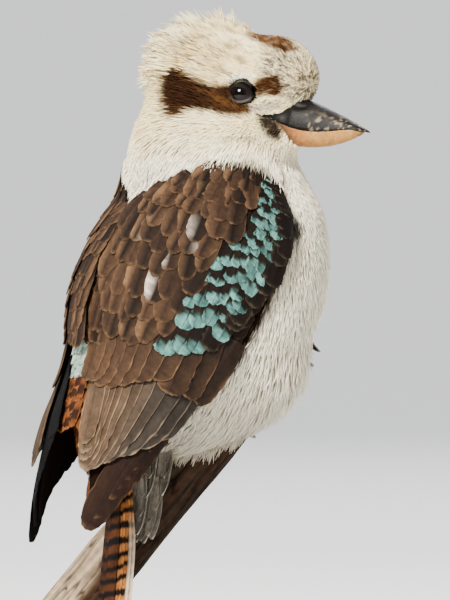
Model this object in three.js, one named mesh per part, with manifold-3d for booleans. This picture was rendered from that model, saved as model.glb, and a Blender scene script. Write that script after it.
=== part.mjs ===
// A laughing kookaburra, life size, perched on a slanting dead branch, on a plain display stand.
// Millimetres, +Z up. The origin is the centre of the underside of the stand's base. The bird looks
// along +X and turns its back a little towards -Y; its head is turned back over its right shoulder.
import * as THREE from "three";
import { mergeVertices } from "three/addons/utils/BufferGeometryUtils.js";
import Module from "manifold-3d";

const wasm = await Module();
wasm.setup();

// Driving dimensions
const GAP = 0.3; // what touching pieces keep between them
const BODY = { centre: [5.3, 0, 223], heading: 30 };
const HEAD = { centre: [38.4, -3, 332.4], heading: -30, pitch: -8 };
const BLEND = 9; // how softly the masses of the body run into one another
const PERCH = {
  middle: [37.2, 18, 178.8],
  heading: 5,
  pitch: 50,
  radius: 16.2,
  topRadius: 13,
  up: 27,
  down: 176,
};
const PERCH_CLEARANCE = 6.5; // how far the belly's feathers stand clear of the branch
const NECK_CUT = { height: 299, tilt: 6 }; // the plane between head and neck
const SHOULDER_CUT = { height: 274, tilt: -14 }; // the plane between neck and torso
const EYE = { ahead: -2.6, radius: 8.2, set: 6.9, slitHalfWidth: 6.1, slitHalfHeight: 4.5, lid: 1.05 };
const BILL = { tip: 67.4, gape: 5, base: 24, tipDrop: -12.6 };
const WING = { vane: 0.65, core: 2, depth: 1.6, leftReach: 8, leftDroop: 4 };
const TAIL = {
  root: [-48, -55],
  middle: [-59, -158],
  tip: [-64, -203],
  vane: 0.5,
  level: 0.85,
  innerHalf: 8,
  perPair: 1.35,
};
const FOOT = { left: -24.4, right: 24.6, toe: 2.6, claw: 9.5, tarsus: 3.4 };
const BASE = { halfLength: 86, halfWidth: 66, height: 14, bevel: 3 };
const ROD = { radius: 5, at: [-49, 10.6] };

const V = (x, y, z) => new THREE.Vector3(x, y, z);
const rad = THREE.MathUtils.degToRad;
const mix = (a, b, t) => a + (b - a) * t;

// A seeded draw, so that every run varies the feathers alike
let seed = 7;
function draw() {
  seed = (seed * 16807) % 2147483647;
  return seed / 2147483647;
}
const vary = (amount) => (draw() - 0.5) * 2 * amount;

// Frames: an origin with forward, right and up directions
function frameOf(origin, heading, pitch = 0) {
  const h = rad(heading);
  const p = rad(pitch);
  const forward = V(Math.cos(h) * Math.cos(p), Math.sin(h) * Math.cos(p), Math.sin(p));
  const right = V(Math.sin(h), -Math.cos(h), 0);
  return { origin: V(...origin), forward, right, up: right.clone().cross(forward) };
}
function at(frame, f, r, u) {
  return frame.origin
    .clone()
    .addScaledVector(frame.forward, f)
    .addScaledVector(frame.right, r)
    .addScaledVector(frame.up, u);
}
function along(frame, f, r, u) {
  return at({ ...frame, origin: V(0, 0, 0) }, f, r, u);
}
const body = frameOf(BODY.centre, BODY.heading);
const head = frameOf(HEAD.centre, HEAD.heading, HEAD.pitch);
const perch = frameOf(PERCH.middle, PERCH.heading, PERCH.pitch);

// Soft masses: each is an ellipsoid in a frame, and a field is below zero inside
function mass(frame, centre, radii, tilt = 0) {
  const c = at(frame, ...centre);
  const t = rad(tilt);
  const axes = [
    along(frame, Math.cos(t), 0, Math.sin(t)),
    along(frame, 0, 1, 0),
    along(frame, -Math.sin(t), 0, Math.cos(t)),
  ];
  return (p) => {
    const d = p.clone().sub(c);
    let near = 0;
    let slope = 0;
    axes.forEach((axis, i) => {
      const q = d.dot(axis) / radii[i];
      near += q * q;
      slope += (q / radii[i]) ** 2;
    });
    near = Math.sqrt(near);
    return (near * (near - 1)) / Math.max(Math.sqrt(slope), 1e-9);
  };
}
function softest(a, b, softness) {
  const h = Math.max(softness - Math.abs(a - b), 0) / softness;
  return Math.min(a, b) - (h * h * softness) / 4;
}
const joined = (masses) => (p) => masses.map((m) => m(p)).reduce((a, b) => softest(a, b, BLEND));

const trunkMasses = [
  mass(body, [3, 1, 1], [87, 59, 62], 64), // chest and back
  mass(body, [20, 2, -34], [42, 44, 36], 40), // belly
  mass(body, [-43, 0, -50], [50, 32, 25], 74), // rump
  mass(body, [9, -3, 68], [56, 44, 45], 88), // neck
];
const headMasses = [
  mass(head, [-29, 0, 1], [38, 30, 33]), // crown and nape
  mass(head, [6, 0, 10], [25, 17.5, 21]), // forehead
  mass(head, [-16, 0, -18], [34, 27, 22]), // cheeks
  mass(head, [11, 0, -19.5], [19, 11, 9.5]), // chin
];
const whole = joined([...trunkMasses, ...headMasses]);
const foldedWings = mass(body, [-39, 0, -46], [116, 46, 26], 64);
const wingBed = joined([...trunkMasses, foldedWings]);

// Distance from the branch's axis, less a radius: the belly leaves room for the branch and the toes
function outsideBranch(p, radius) {
  const d = p.clone().sub(perch.origin);
  const t = THREE.MathUtils.clamp(d.dot(perch.forward), -PERCH.down, PERCH.up + 4);
  return d.addScaledVector(perch.forward, -t).length() - radius;
}
function plumage(p) {
  return -softest(-whole(p), outsideBranch(p, PERCH.topRadius + 1 + PERCH_CLEARANCE), BLEND);
}

// The first place where a field turns positive on the way out from a point inside it
function surfaceFrom(field, from, direction, reach = 130, step = 4) {
  let inner = 0;
  let outer = step;
  const probe = (t) => field(from.clone().addScaledVector(direction, t));
  while (outer < reach && probe(outer) < 0) {
    inner = outer;
    outer += step;
  }
  for (let i = 0; i < 14; i++) {
    const middle = (inner + outer) / 2;
    if (probe(middle) < 0) inner = middle;
    else outer = middle;
  }
  return inner;
}
function slopeOf(field, p) {
  const e = 0.5;
  const d = (x, y, z) => field(p.clone().add(V(x, y, z))) - field(p.clone().sub(V(x, y, z)));
  return V(d(e, 0, 0), d(0, e, 0), d(0, 0, e)).normalize();
}

// Closed meshes and their joins
function solidOf(positions, faces) {
  const geometry = new THREE.BufferGeometry();
  const numbers = positions.flatMap((p) => [p.x, p.y, p.z]);
  geometry.setAttribute("position", new THREE.Float32BufferAttribute(numbers, 3));
  geometry.setIndex(faces.flat());
  return fromGeometry(geometry);
}
function fromGeometry(geometry) {
  geometry.deleteAttribute("normal");
  geometry.deleteAttribute("uv");
  const merged = mergeVertices(geometry, 1e-3);
  const mesh = {
    numProp: 3,
    vertProperties: merged.attributes.position.array,
    triVerts: new Uint32Array(merged.index.array),
  };
  const solid = new wasm.Manifold(new wasm.Mesh(mesh));
  if (solid.volume() > 0) return solid;
  const turned = mesh.triVerts.slice();
  for (let i = 0; i < turned.length; i += 3) {
    [turned[i + 1], turned[i + 2]] = [turned[i + 2], turned[i + 1]];
  }
  return new wasm.Manifold(new wasm.Mesh({ ...mesh, triVerts: turned }));
}
const union = (solids) => solids.reduce((a, b) => a.add(b));
// The room a solid needs: itself moved a little towards four corners
function roomFor(solid) {
  const ways = [[1, 1, 1], [1, -1, -1], [-1, 1, -1], [-1, -1, 1]];
  const moves = ways.map((way) => along(body, ...way).multiplyScalar(GAP));
  return union([solid, ...moves.map((d) => solid.translate([d.x, d.y, d.z]))]);
}
function largest(solid) {
  return solid.decompose().sort((a, b) => b.volume() - a.volume())[0];
}

// Rings of equal count, closed at both ends by a point
function loft(start, rings, end) {
  const positions = [start, ...rings.flat(), end];
  const n = rings[0].length;
  const faces = [];
  const id = (ring, i) => 1 + ring * n + (i % n);
  for (let i = 0; i < n; i++) {
    faces.push([0, id(0, i + 1), id(0, i)]);
    faces.push([positions.length - 1, id(rings.length - 1, i), id(rings.length - 1, i + 1)]);
    for (let r = 0; r + 1 < rings.length; r++) {
      faces.push([id(r, i), id(r, i + 1), id(r + 1, i)]);
      faces.push([id(r, i + 1), id(r + 1, i + 1), id(r + 1, i)]);
    }
  }
  return solidOf(positions, faces);
}
function tube(path, radii, sides = 8) {
  const rings = path.map((p, i) => {
    const tangent = path[Math.min(i + 1, path.length - 1)].clone().sub(path[Math.max(i - 1, 0)]).normalize();
    const helper = Math.abs(tangent.z) < 0.9 ? V(0, 0, 1) : V(1, 0, 0);
    const u = helper.clone().cross(tangent).normalize();
    const v = tangent.clone().cross(u);
    return Array.from({ length: sides }, (_, k) => {
      const a = (2 * Math.PI * k) / sides;
      return p.clone().addScaledVector(u, radii[i] * Math.cos(a)).addScaledVector(v, radii[i] * Math.sin(a));
    });
  });
  return loft(path[0], rings, path[path.length - 1]);
}
// A thin plate over a grid of points with their normals, split into triangles alike on both faces
function plate(grid, thickness) {
  const rows = grid.length;
  const columns = grid[0].length;
  const top = grid.flat().map((g) => g.p);
  const under = grid.flat().map((g) => g.p.clone().addScaledVector(g.n, -g.thin * thickness));
  const faces = [];
  const id = (i, j) => i * columns + j;
  const low = rows * columns;
  for (let i = 0; i + 1 < rows; i++) {
    for (let j = 0; j + 1 < columns; j++) {
      const [a, b, c, d] = [id(i, j), id(i + 1, j), id(i, j + 1), id(i + 1, j + 1)];
      for (const t of [[a, b, c], [c, b, d]]) faces.push(t, [t[0] + low, t[2] + low, t[1] + low]);
    }
  }
  const rim = [];
  for (let j = 0; j < columns - 1; j++) rim.push(id(0, j));
  for (let i = 0; i < rows - 1; i++) rim.push(id(i, columns - 1));
  for (let j = columns - 1; j > 0; j--) rim.push(id(rows - 1, j));
  for (let i = rows - 1; i > 0; i--) rim.push(id(i, 0));
  rim.forEach((a, k) => {
    const b = rim[(k + 1) % rim.length];
    faces.push([a, b, a + low], [b, b + low, a + low]);
  });
  return solidOf([...top, ...under], faces);
}

// Star-shaped skin round a straight line of centres, with a fan of rings over each end
function skinOf(field, from, to, { rings, sides, fan, grow = 0, flatEnd = false }) {
  const axis = to.clone().sub(from).normalize();
  const u = body.right.clone().addScaledVector(axis, -body.right.dot(axis)).normalize();
  const v = axis.clone().cross(u);
  const place = (centre, lean, turn) => {
    const out = u.clone().multiplyScalar(Math.cos(turn)).addScaledVector(v, Math.sin(turn));
    const direction = out.multiplyScalar(Math.cos(lean)).addScaledVector(axis, Math.sin(lean));
    return centre.clone().addScaledVector(direction, surfaceFrom(field, centre, direction) + grow);
  };
  const turns = Array.from({ length: sides }, (_, k) => (2 * Math.PI * k) / sides);
  const made = [];
  const tips = Array.from({ length: fan }, (_, i) => rad((90 * (i + 1)) / (fan + 1)));
  for (const tip of tips) made.push(turns.map((t) => place(from, tip - Math.PI / 2, t)));
  for (let i = 0; i <= rings; i++) {
    const centre = from.clone().lerp(to, i / rings);
    made.push(turns.map((t) => place(centre, 0, t)));
  }
  if (!flatEnd) for (const tip of tips) made.push(turns.map((t) => place(to, tip, t)));
  const end = flatEnd ? to : place(to, Math.PI / 2, 0);
  return loft(place(from, -Math.PI / 2, 0), made, end);
}

// A slab on one side of a tilted plane, to cut with: above keeps what is over the plane
function slab(height, tilt, above, gap) {
  const size = 400;
  const box = new THREE.BoxGeometry(size, size, size);
  box.translate(0, 0, (above ? 1 : -1) * (size / 2 + gap / 2));
  box.rotateY(rad(tilt));
  box.translate(BODY.centre[0] + 12, 0, height);
  return fromGeometry(box);
}

// Eyes and their lids
function eyeSurface(side) {
  return surfaceFrom(whole, at(head, EYE.ahead, 0, 0), head.right.clone().multiplyScalar(side));
}
function eyeCentre(side) {
  return at(head, EYE.ahead, side * (eyeSurface(side) - EYE.set), 0);
}
function eyeball(side, grow = 0) {
  const ball = new THREE.SphereGeometry(EYE.radius + grow, 14, 9);
  const c = eyeCentre(side);
  ball.translate(c.x, c.y, c.z);
  return fromGeometry(ball);
}
function lids(side) {
  const out = along(head, 0.25, side, 0.06).normalize();
  const forward = head.forward.clone().addScaledVector(out, -head.forward.dot(out)).normalize();
  const up = out.clone().cross(forward).multiplyScalar(-side);
  const centre = eyeCentre(side);
  const sides = 14;
  const positions = [];
  const faces = [];
  const section = 4;
  for (let i = 0; i < sides; i++) {
    const a = (2 * Math.PI * i) / sides;
    const radial = forward.clone().multiplyScalar(Math.cos(a) * EYE.slitHalfWidth);
    radial.addScaledVector(up, Math.sin(a) * EYE.slitHalfHeight);
    const reach = radial.length();
    const depth = Math.sqrt(Math.max((EYE.radius + EYE.lid * 0.4) ** 2 - reach ** 2, 0));
    const middle = centre.clone().add(radial).addScaledVector(out, depth);
    const radialOut = radial.clone().normalize();
    for (let k = 0; k < section; k++) {
      const b = (2 * Math.PI * k) / section;
      const p = middle.clone().addScaledVector(radialOut, EYE.lid * 1.25 * Math.cos(b));
      positions.push(p.addScaledVector(out, EYE.lid * Math.sin(b)));
      const next = (k + 1) % section;
      const on = (i + 1) % sides;
      faces.push([i * section + k, on * section + k, i * section + next]);
      faces.push([on * section + k, on * section + next, i * section + next]);
    }
  }
  return solidOf(positions, faces);
}

// The bill: two halves that meet along the mouth's line and run back to the gape under the eye
function mouthLine(f) {
  const t = Math.max((f - BILL.gape) / (BILL.tip - BILL.gape), 0);
  return -10 - 5.2 * Math.sin(Math.PI * Math.min(t * 1.18, 1)) ** 1.2 + (BILL.tipDrop + 10) * t ** 2;
}
function billHalfWidth(f) {
  const t = THREE.MathUtils.clamp((f - BILL.base) / (BILL.tip - BILL.base), 0, 1);
  if (f >= BILL.base) return Math.max(10.8 * (1 - t) ** 0.62, 0.35);
  const side = at(head, f, 0, mouthLine(f));
  const cheeks = [1, -1].map((way) => surfaceFrom(whole, side, head.right.clone().multiplyScalar(way)));
  return mix(10.8, Math.min(...cheeks) + 0.5, Math.min((1 - fromGape(f)) * 1.6, 1));
}
const fromGape = (f) => Math.max((f - BILL.gape) / (BILL.base - BILL.gape), 0);
function culmen(f) {
  const t = THREE.MathUtils.clamp((f - BILL.base) / (BILL.tip - BILL.base), 0, 1);
  if (f >= BILL.base) return mix(0.6, BILL.tipDrop + 0.8, t ** 1.32);
  return mix(mouthLine(f) + 1.1, 0.6, fromGape(f) ** 1.5);
}
function keel(f) {
  const tip = BILL.tip - 3.6;
  const t = THREE.MathUtils.clamp((f - BILL.base) / (tip - BILL.base), 0, 1);
  if (f >= BILL.base) return mix(-25, mouthLine(tip) - 0.9, t ** 2.3);
  return mix(mouthLine(f) - 1.1, -25, fromGape(f) ** 1.3);
}
function billHalf(upper, grow = 0) {
  const tip = upper ? BILL.tip : BILL.tip - 3.6;
  const stations = [5, 12, 18, 24, 31, 38, 45, 52, 58, 62, tip - 1.2];
  const arc = 7;
  const sign = upper ? 1 : -1;
  const rings = stations.map((station, i) => {
    const f = station - (i === 0 ? grow : 0);
    const w = billHalfWidth(f) * (upper ? 1 : 0.93) + grow * (f < BILL.base ? 5 : 1);
    const seam = mouthLine(f) + sign * (GAP / 2 - grow);
    const edge = (upper ? culmen(f) : keel(f)) + sign * grow;
    const ring = [];
    for (let k = 0; k <= arc; k++) {
      const a = (Math.PI * k) / arc;
      const across = Math.cos(a);
      const rise = Math.sin(a) ** 0.92;
      ring.push(at(head, f, w * across, mix(seam, edge, rise)));
    }
    ring.push(at(head, f, 0, seam));
    return ring;
  });
  const first = at(head, stations[0] - grow, 0, mouthLine(stations[0]) + sign * 0.6);
  const last = at(head, tip + grow, 0, mix(mouthLine(tip), BILL.tipDrop, 0.7) - (upper ? 1.2 : 0.4));
  return loft(first, rings, last);
}
function nostril(side) {
  const slot = new THREE.SphereGeometry(1, 12, 8);
  slot.scale(3.4, 1.1, 0.9);
  slot.rotateY(rad(8));
  slot.rotateZ(rad(HEAD.heading));
  const f = BILL.base + 1.5;
  const c = at(head, f, side * 8.6, -3.6);
  slot.translate(c.x, c.y, c.z);
  return fromGeometry(slot);
}

// Head with its crest: flat tapered locks in rows from the crown to the nape, each rising as it goes back
function crestLock(turn, lean, length, width, lift) {
  const centre = at(head, -24, 0, 0);
  const outward = along(head, -Math.cos(rad(lean)), 0, 0)
    .addScaledVector(head.up, Math.sin(rad(lean)) * Math.cos(rad(turn)))
    .addScaledVector(head.right, Math.sin(rad(lean)) * Math.sin(rad(turn)))
    .normalize();
  const root = centre.clone().addScaledVector(outward, surfaceFrom(whole, centre, outward));
  const normal = slopeOf(whole, root);
  const back = along(head, -1, 0, -0.15);
  const lie = back.addScaledVector(normal, -back.dot(normal)).normalize();
  const across = lie.clone().cross(normal).normalize();
  const steps = 3;
  const grid = [];
  for (let i = 0; i <= steps; i++) {
    const t = i / steps;
    const half = (width / 2) * [0.75, 1, 0.78, 0.2][i];
    const rise = -2.2 + (lift + 2.2) * t ** 1.1;
    const middle = root.clone().addScaledVector(lie, length * t).addScaledVector(normal, rise);
    grid.push([-1, 1].map((b) => ({
      p: middle.clone().addScaledVector(across, b * half),
      n: normal,
      thin: mix(1, 0.6, t),
    })));
  }
  return plate(grid, 1.1);
}
function crest() {
  const locks = [];
  const rows = [
    { lean: 116, count: 3, spread: 24, length: 13, lift: 3.2 },
    { lean: 97, count: 4, spread: 42, length: 16, lift: 6.5 },
    { lean: 77, count: 5, spread: 54, length: 18, lift: 8.5 },
    { lean: 57, count: 6, spread: 66, length: 18, lift: 8.5 },
    { lean: 37, count: 6, spread: 84, length: 17, lift: 8 },
    { lean: 14, count: 5, spread: 110, length: 16, lift: 6.5 },
  ];
  rows.forEach((row, r) => {
    for (let i = 0; i < row.count; i++) {
      const share = (i + 0.5 * (r % 2)) / (row.count - 0.5) - 0.5;
      const turn = 2 * row.spread * share + vary(3);
      locks.push(crestLock(turn, row.lean + vary(3), row.length + vary(2), 7, row.lift + vary(1.6)));
    }
  });
  return union(locks);
}
function headSolid() {
  const from = at(head, -30, 0, -2);
  const to = at(head, 6, 0, 0);
  const skin = skinOf(whole, from, to, { rings: 6, sides: 26, fan: 5 });
  let made = skin.intersect(slab(NECK_CUT.height, NECK_CUT.tilt, true, GAP));
  made = made.add(crest());
  for (const side of [1, -1]) {
    const socket = eyeball(side, GAP);
    made = made.subtract(socket).add(lids(side).subtract(socket));
  }
  made = made.subtract(billHalf(true, GAP)).subtract(billHalf(false, GAP));
  return largest(made.intersect(slab(NECK_CUT.height, NECK_CUT.tilt, true, GAP)));
}

// Torso and neck come from one skin, parted by the shoulder plane
const trunkFrom = at(body, -40, 0, -66);
const trunkTo = at(body, 13, 0, 86);
function trunkSkin(grow = 0) {
  const sizes = { rings: 12, sides: 30, fan: 4, grow, flatEnd: true };
  return skinOf(plumage, trunkFrom, trunkTo, sizes);
}

// Places on the folded wings: s runs from the shoulders to the tips, the angle from the back's middle line
const wingTop = at(body, 14, 0, 62);
const wingLine = along(body, -0.4387, 0, -0.8986);
const wingBack = along(body, -0.8986, 0, 0.4387);
const leftDroop = [[30, 0], [90, WING.leftDroop], [150, WING.leftDroop], [205, 0]];
const droop = (side, s) => (side > 0 ? 0 : profile(leftDroop, s));
function onWing(side, s, angle, lift) {
  const centre = wingTop.clone().addScaledVector(wingLine, s);
  const a = rad(angle);
  const out = wingBack.clone().multiplyScalar(Math.cos(a)).addScaledVector(body.right, side * Math.sin(a));
  const p = centre.clone().addScaledVector(out, surfaceFrom(wingBed, centre, out));
  const n = slopeOf(wingBed, p);
  return { p: p.addScaledVector(n, lift + droop(side, s)), n };
}
function wingPlace(side, p) {
  const d = p.clone().sub(wingTop);
  const turn = Math.atan2(side * d.dot(body.right), d.dot(wingBack));
  return [d.dot(wingLine), THREE.MathUtils.radToDeg(turn)];
}
// Values given at a few stations, read off in between
function profile(stations, x) {
  const last = stations.length - 1;
  if (x <= stations[0][0]) return stations[0][1];
  for (let i = 0; i < last; i++) {
    const [a, va] = stations[i];
    const [b, vb] = stations[i + 1];
    if (x <= b) return mix(va, vb, (x - a) / (b - a));
  }
  return stations[last][1];
}
// The angles of the wings' front and inner edges at stations of s
const wingFront = [
  [-8, 84], [0, 98], [12, 108], [40, 108], [70, 104], [95, 104], [115, 105], [130, 102], [146, 94], [180, 85],
  [205, 75],
];
const wingInner = {
  right: [[-8, 66], [0, 45], [30, 18], [60, 6], [130, 4], [150, 22], [165, 40], [180, 52], [205, 72]],
  left: [[-8, 66], [0, 45], [30, 24], [60, 14], [90, 30], [110, 45], [130, 56], [160, 62], [205, 71]],
};

// A feather of the wing lies from a root to a tip on the wing bed and rises from the core as it goes
function wingVane(side, root, tip, width, { lift = 4, roll = 0, steps = 2, blunt = 0.45, sink = 1.2 } = {}) {
  const grid = [];
  const line = (t) => [mix(root[0], tip[0], t), mix(root[1], tip[1], t)];
  for (let i = 0; i <= steps; i++) {
    const t = i / steps;
    const place = onWing(side, ...line(t), 0);
    const next = onWing(side, ...line(Math.min(t + 0.1, 1)), 0).p;
    const before = onWing(side, ...line(Math.max(t - 0.1, 0)), 0).p;
    const across = next.sub(before).cross(place.n).normalize().multiplyScalar(side);
    const half = (width / 2) * (i === steps ? blunt : Math.min(0.7 + t, 1));
    const rise = mix(sink, lift, t);
    grid.push([-1, 1].map((b) => {
      const q = place.p.clone().addScaledVector(across, b * half);
      const [s, angle] = wingPlace(side, q);
      return { ...onWing(side, s, angle, rise + roll * b * half), thin: i === steps ? 0.8 : 1 };
    }));
  }
  return plate(grid, WING.vane);
}
function wingCore(side) {
  const inner = side > 0 ? wingInner.right : wingInner.left;
  const reach = side > 0 ? 0 : WING.leftReach;
  const rows = 9;
  const columns = 5;
  const grid = [];
  for (let i = 0; i <= rows; i++) {
    const s = mix(-4, 190 + reach, i / rows);
    const from = profile(inner, s) + 3;
    const to = profile(wingFront, s) - 1;
    const top = WING.core * profile([[-4, 0.5], [15, 1], [140, 1], [160, 0.6], [205, 0.35]], s);
    const deep = profile([[-4, 0.5], [15, 1], [130, 1], [150, 0.3], [205, 0.1]], s);
    const under = WING.depth * deep + droop(side, s);
    grid.push(Array.from({ length: columns }, (_, j) => ({
      ...onWing(side, s, mix(from, to, j / (columns - 1)), top),
      thin: top + under,
    })));
  }
  return plate(grid, 1);
}
function wingVanes(side) {
  const reach = side > 0 ? 0 : WING.leftReach;
  const inner = side > 0 ? wingInner.right : wingInner.left;
  const parts = [];
  const back = (s) => profile(inner, s);
  const row = (count, make) => {
    for (let i = 0; i < count; i++) parts.push(make(i / (count - 1)));
  };
  const vane = (root, tip, width, more) => wingVane(side, root, tip, width, more);
  // Primaries, the longest on the inside
  row(5, (t) => {
    const s = mix(205, 168, t) + reach;
    const more = { lift: 2.4, steps: 3, roll: -0.07 };
    return vane([mix(130, 112, t), mix(80, 94, t)], [s, mix(74, 86, t)], 13, more);
  });
  // Secondaries and the inner feathers that cover them
  row(6, (t) => {
    const s = mix(178, 148, t);
    const root = [mix(112, 102, t), mix(back(112) + 14, 98, t)];
    return vane(root, [s, mix(back(s) + 7, 90, t)], 17, { lift: 5, roll: -0.11 });
  });
  // Greater coverts
  row(6, (t) => {
    const s = mix(134, 122, t);
    const root = [mix(100, 88, t), mix(back(100) + 12, 103, t)];
    return vane(root, [s, mix(back(134) + 9, 102, t)], 14, { lift: 5.2 });
  });
  // Median and lesser coverts run in a slant from the wing's bend to the shoulder feathers
  for (const [from, to, lift] of [[106, 62, 4.6], [80, 34, 5]]) {
    row(4, (t) => {
      const s = mix(from, to, t);
      return vane([s - 28, mix(77, 100, t)], [s, mix(76, 104, t)], 12.5, { lift });
    });
  }
  // Shoulder feathers lie over the inner wing
  for (const [end, length, lift] of [[98, 40, 5.2], [64, 38, 5.6]]) {
    row(4, (t) => {
      const s = end + 9 * Math.sin(Math.PI * t);
      const inside = back(s) + 9;
      return vane([s - length, mix(inside + 8, 66, t)], [s, mix(inside, 68, t)], 13, { lift });
    });
  }
  return union(parts);
}

// Tail feathers: the middle pair on top, each pair beyond it lower and a little wider set
function tailLine(t) {
  const u = t < 0.7 ? t / 0.7 : (t - 0.7) / 0.3;
  const [a, b] = t < 0.7 ? [TAIL.root, TAIL.middle] : [TAIL.middle, TAIL.tip];
  return [mix(a[0], b[0], u), mix(a[1], b[1], u)];
}
const tailBack = along(body, -0.994, 0, 0.1);
function tailVane(from, to, inner, outer, level, side, spread = 1) {
  const steps = 3;
  const grid = [];
  for (let i = 0; i <= steps; i++) {
    const t = mix(from, to, i / steps);
    const [f, u] = tailLine(t);
    const widen = i === steps ? 0.72 : Math.min(0.55 + 0.6 * t, 1) * mix(1, spread, t);
    const last = i === steps;
    grid.push([inner, (inner + outer) / 2, outer].map((l, j) => {
      const out = last && j === 0 ? inner + (outer - inner) * 0.25 : l * widen;
      const p = at(body, f, side * out, u - (last && j === 1 ? 3 : 0));
      p.addScaledVector(tailBack, -level * TAIL.level - 0.02 * Math.max(l, 0) ** 2 * widen);
      return { p, n: tailBack, thin: 1 };
    }));
  }
  return plate(grid, TAIL.vane);
}
function tailRoot() {
  const stations = [[0.03, 6, 3], [0.12, 9.5, 4.2], [0.24, 10.5, 4.2], [0.335, 9, 3.4]];
  const rings = stations.map(([t, wide, thick]) => {
    const [f, u] = tailLine(t);
    const centre = at(body, f, 0, u).addScaledVector(tailBack, -2.6);
    return Array.from({ length: 12 }, (_, k) => {
      const a = (Math.PI * k) / 6;
      const p = centre.clone().addScaledVector(body.right, wide * Math.cos(a));
      return p.addScaledVector(tailBack, thick * Math.sin(a));
    });
  });
  const mid = (ring) => ring.reduce((s, p) => s.add(p), V(0, 0, 0)).divideScalar(ring.length);
  return loft(mid(rings[0]), rings, mid(rings[rings.length - 1]));
}
function tailSolid() {
  const parts = [tailRoot()];
  parts.push(tailVane(0.26, 1, -7, 8.5, -0.2, 1));
  parts.push(tailVane(0.26, 0.995, -6.5, 8.5, 0.8, -1));
  for (let k = 1; k <= 5; k++) {
    for (const side of [1, -1]) {
      const outer = TAIL.innerHalf + TAIL.perPair * k;
      parts.push(tailVane(0.26, 1 - 0.008 * k, 0.4, outer, k + 0.9, side, 1.08));
    }
  }
  return union(parts);
}

// Feet: three toes over the far side of the branch and one round the near side, each with its claw
function roundPerch(t, angle, radius) {
  const a = rad(angle);
  return perch.origin
    .clone()
    .addScaledVector(perch.forward, t)
    .addScaledVector(perch.up, radius * Math.cos(a))
    .addScaledVector(perch.right, -radius * Math.sin(a));
}
const toePlans = [
  { name: "inner", spread: -9, reach: 118, size: 0.95 },
  { name: "middle", spread: 0.5, reach: 146, size: 1.05 },
  { name: "outer", spread: 9, reach: 128, size: 1 },
  { name: "rear", spread: -2, reach: -96, size: 1 },
];
const perchRadius = (t) => mix(PERCH.radius, PERCH.topRadius, (t + PERCH.down) / (PERCH.up + PERCH.down));
function toe(t0, plan, grow = 0) {
  const steps = 5;
  const path = [];
  const radii = [];
  for (let i = 0; i <= steps; i++) {
    const u = i / steps;
    const size = FOOT.toe * plan.size * (1 - 0.22 * u);
    const t = t0 + plan.spread * Math.min(u * 1.7, 1);
    path.push(roundPerch(t, plan.reach * u, perchRadius(t0) + GAP + size));
    radii.push(size * (i % 2 ? 0.94 : 1.03) + grow);
  }
  return tube(path, radii, 6);
}
function claw(t0, plan) {
  const steps = 3;
  const path = [];
  const radii = [];
  const base = FOOT.toe * plan.size * 0.78;
  const turn = Math.sign(plan.reach);
  const ring = perchRadius(t0) + GAP + base;
  for (let i = 0; i <= steps; i++) {
    const u = i / steps;
    const swing = plan.reach + turn * (1.4 + (THREE.MathUtils.radToDeg(FOOT.claw / ring)) * u);
    path.push(roundPerch(t0 + plan.spread, swing, ring + 1.6 * Math.sin(Math.PI * u * 0.9) - 1.2 * u));
    radii.push(mix(base * 0.72, 0.35, u ** 1.3));
  }
  return tube(path, radii, 6);
}
function pad(t0, grow = 0) {
  const ball = new THREE.SphereGeometry(1, 10, 6);
  ball.scale(4.6 + grow, 4.6 + grow, 4 + grow);
  const c = roundPerch(t0, 0, perchRadius(t0) + 3.6);
  ball.translate(c.x, c.y, c.z);
  return fromGeometry(ball);
}
function footSolid(t0, grow = 0) {
  return union([pad(t0, grow), ...toePlans.map((plan) => toe(t0, plan, grow))]);
}
function legSolid(t0, grow = 0) {
  const from = roundPerch(t0, 0, perchRadius(t0) + 4);
  const to = at(body, mix(2, 10, t0 > 0 ? 1 : 0), t0 > 0 ? 10 : -10, -18);
  const way = to.clone().sub(from).normalize();
  const path = [0, 8, 16, 25 + grow].map((d) => from.clone().addScaledVector(way, d));
  return tube(path, [1, 1, 1.25, 1.5].map((r) => r * FOOT.tarsus + grow), 9);
}

// The branch: weathered, a little uneven, sawn at its foot and broken at its top
function perchSolid(grow = 0) {
  const stations = 12;
  const sides = 14;
  const rings = [];
  for (let i = 0; i < stations; i++) {
    const t = mix(-PERCH.down, PERCH.up, i / (stations - 1));
    rings.push(Array.from({ length: sides }, (_, k) => {
      const angle = (360 * k) / sides;
      const uneven = 0.35 * Math.sin(0.09 * t + 2 * rad(angle)) + 0.3 * Math.sin(0.041 * t + 5 * rad(angle));
      const ragged = i === stations - 1 ? 2 * Math.sin(3 * rad(angle)) + 1.5 * Math.sin(5 * rad(angle)) : 0;
      const push = i === 0 ? -grow : i === stations - 1 ? grow : 0;
      return roundPerch(t + ragged + push, angle, perchRadius(t) + uneven - 0.6 + grow);
    }));
  }
  return loft(roundPerch(-PERCH.down - grow, 0, 0), rings, roundPerch(PERCH.up - 4 + grow, 0, 0));
}

// The stand: an oval base and one upright rod under the branch
function standBase() {
  const outline = new THREE.Shape();
  outline.absellipse(0, 0, BASE.halfLength - BASE.bevel, BASE.halfWidth - BASE.bevel, 0, 2 * Math.PI);
  const made = new THREE.ExtrudeGeometry(outline, {
    depth: BASE.height - 2 * BASE.bevel,
    bevelThickness: BASE.bevel,
    bevelSize: BASE.bevel,
    bevelSegments: 1,
    curveSegments: 20,
  });
  made.translate(0, 0, BASE.bevel);
  return fromGeometry(made);
}
function standRod() {
  const foot = BASE.height + GAP;
  const rod = new THREE.CylinderGeometry(ROD.radius, ROD.radius, 60, 16);
  rod.rotateX(Math.PI / 2);
  rod.translate(ROD.at[0], ROD.at[1], foot + 30);
  return fromGeometry(rod).subtract(perchSolid(GAP));
}

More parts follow.
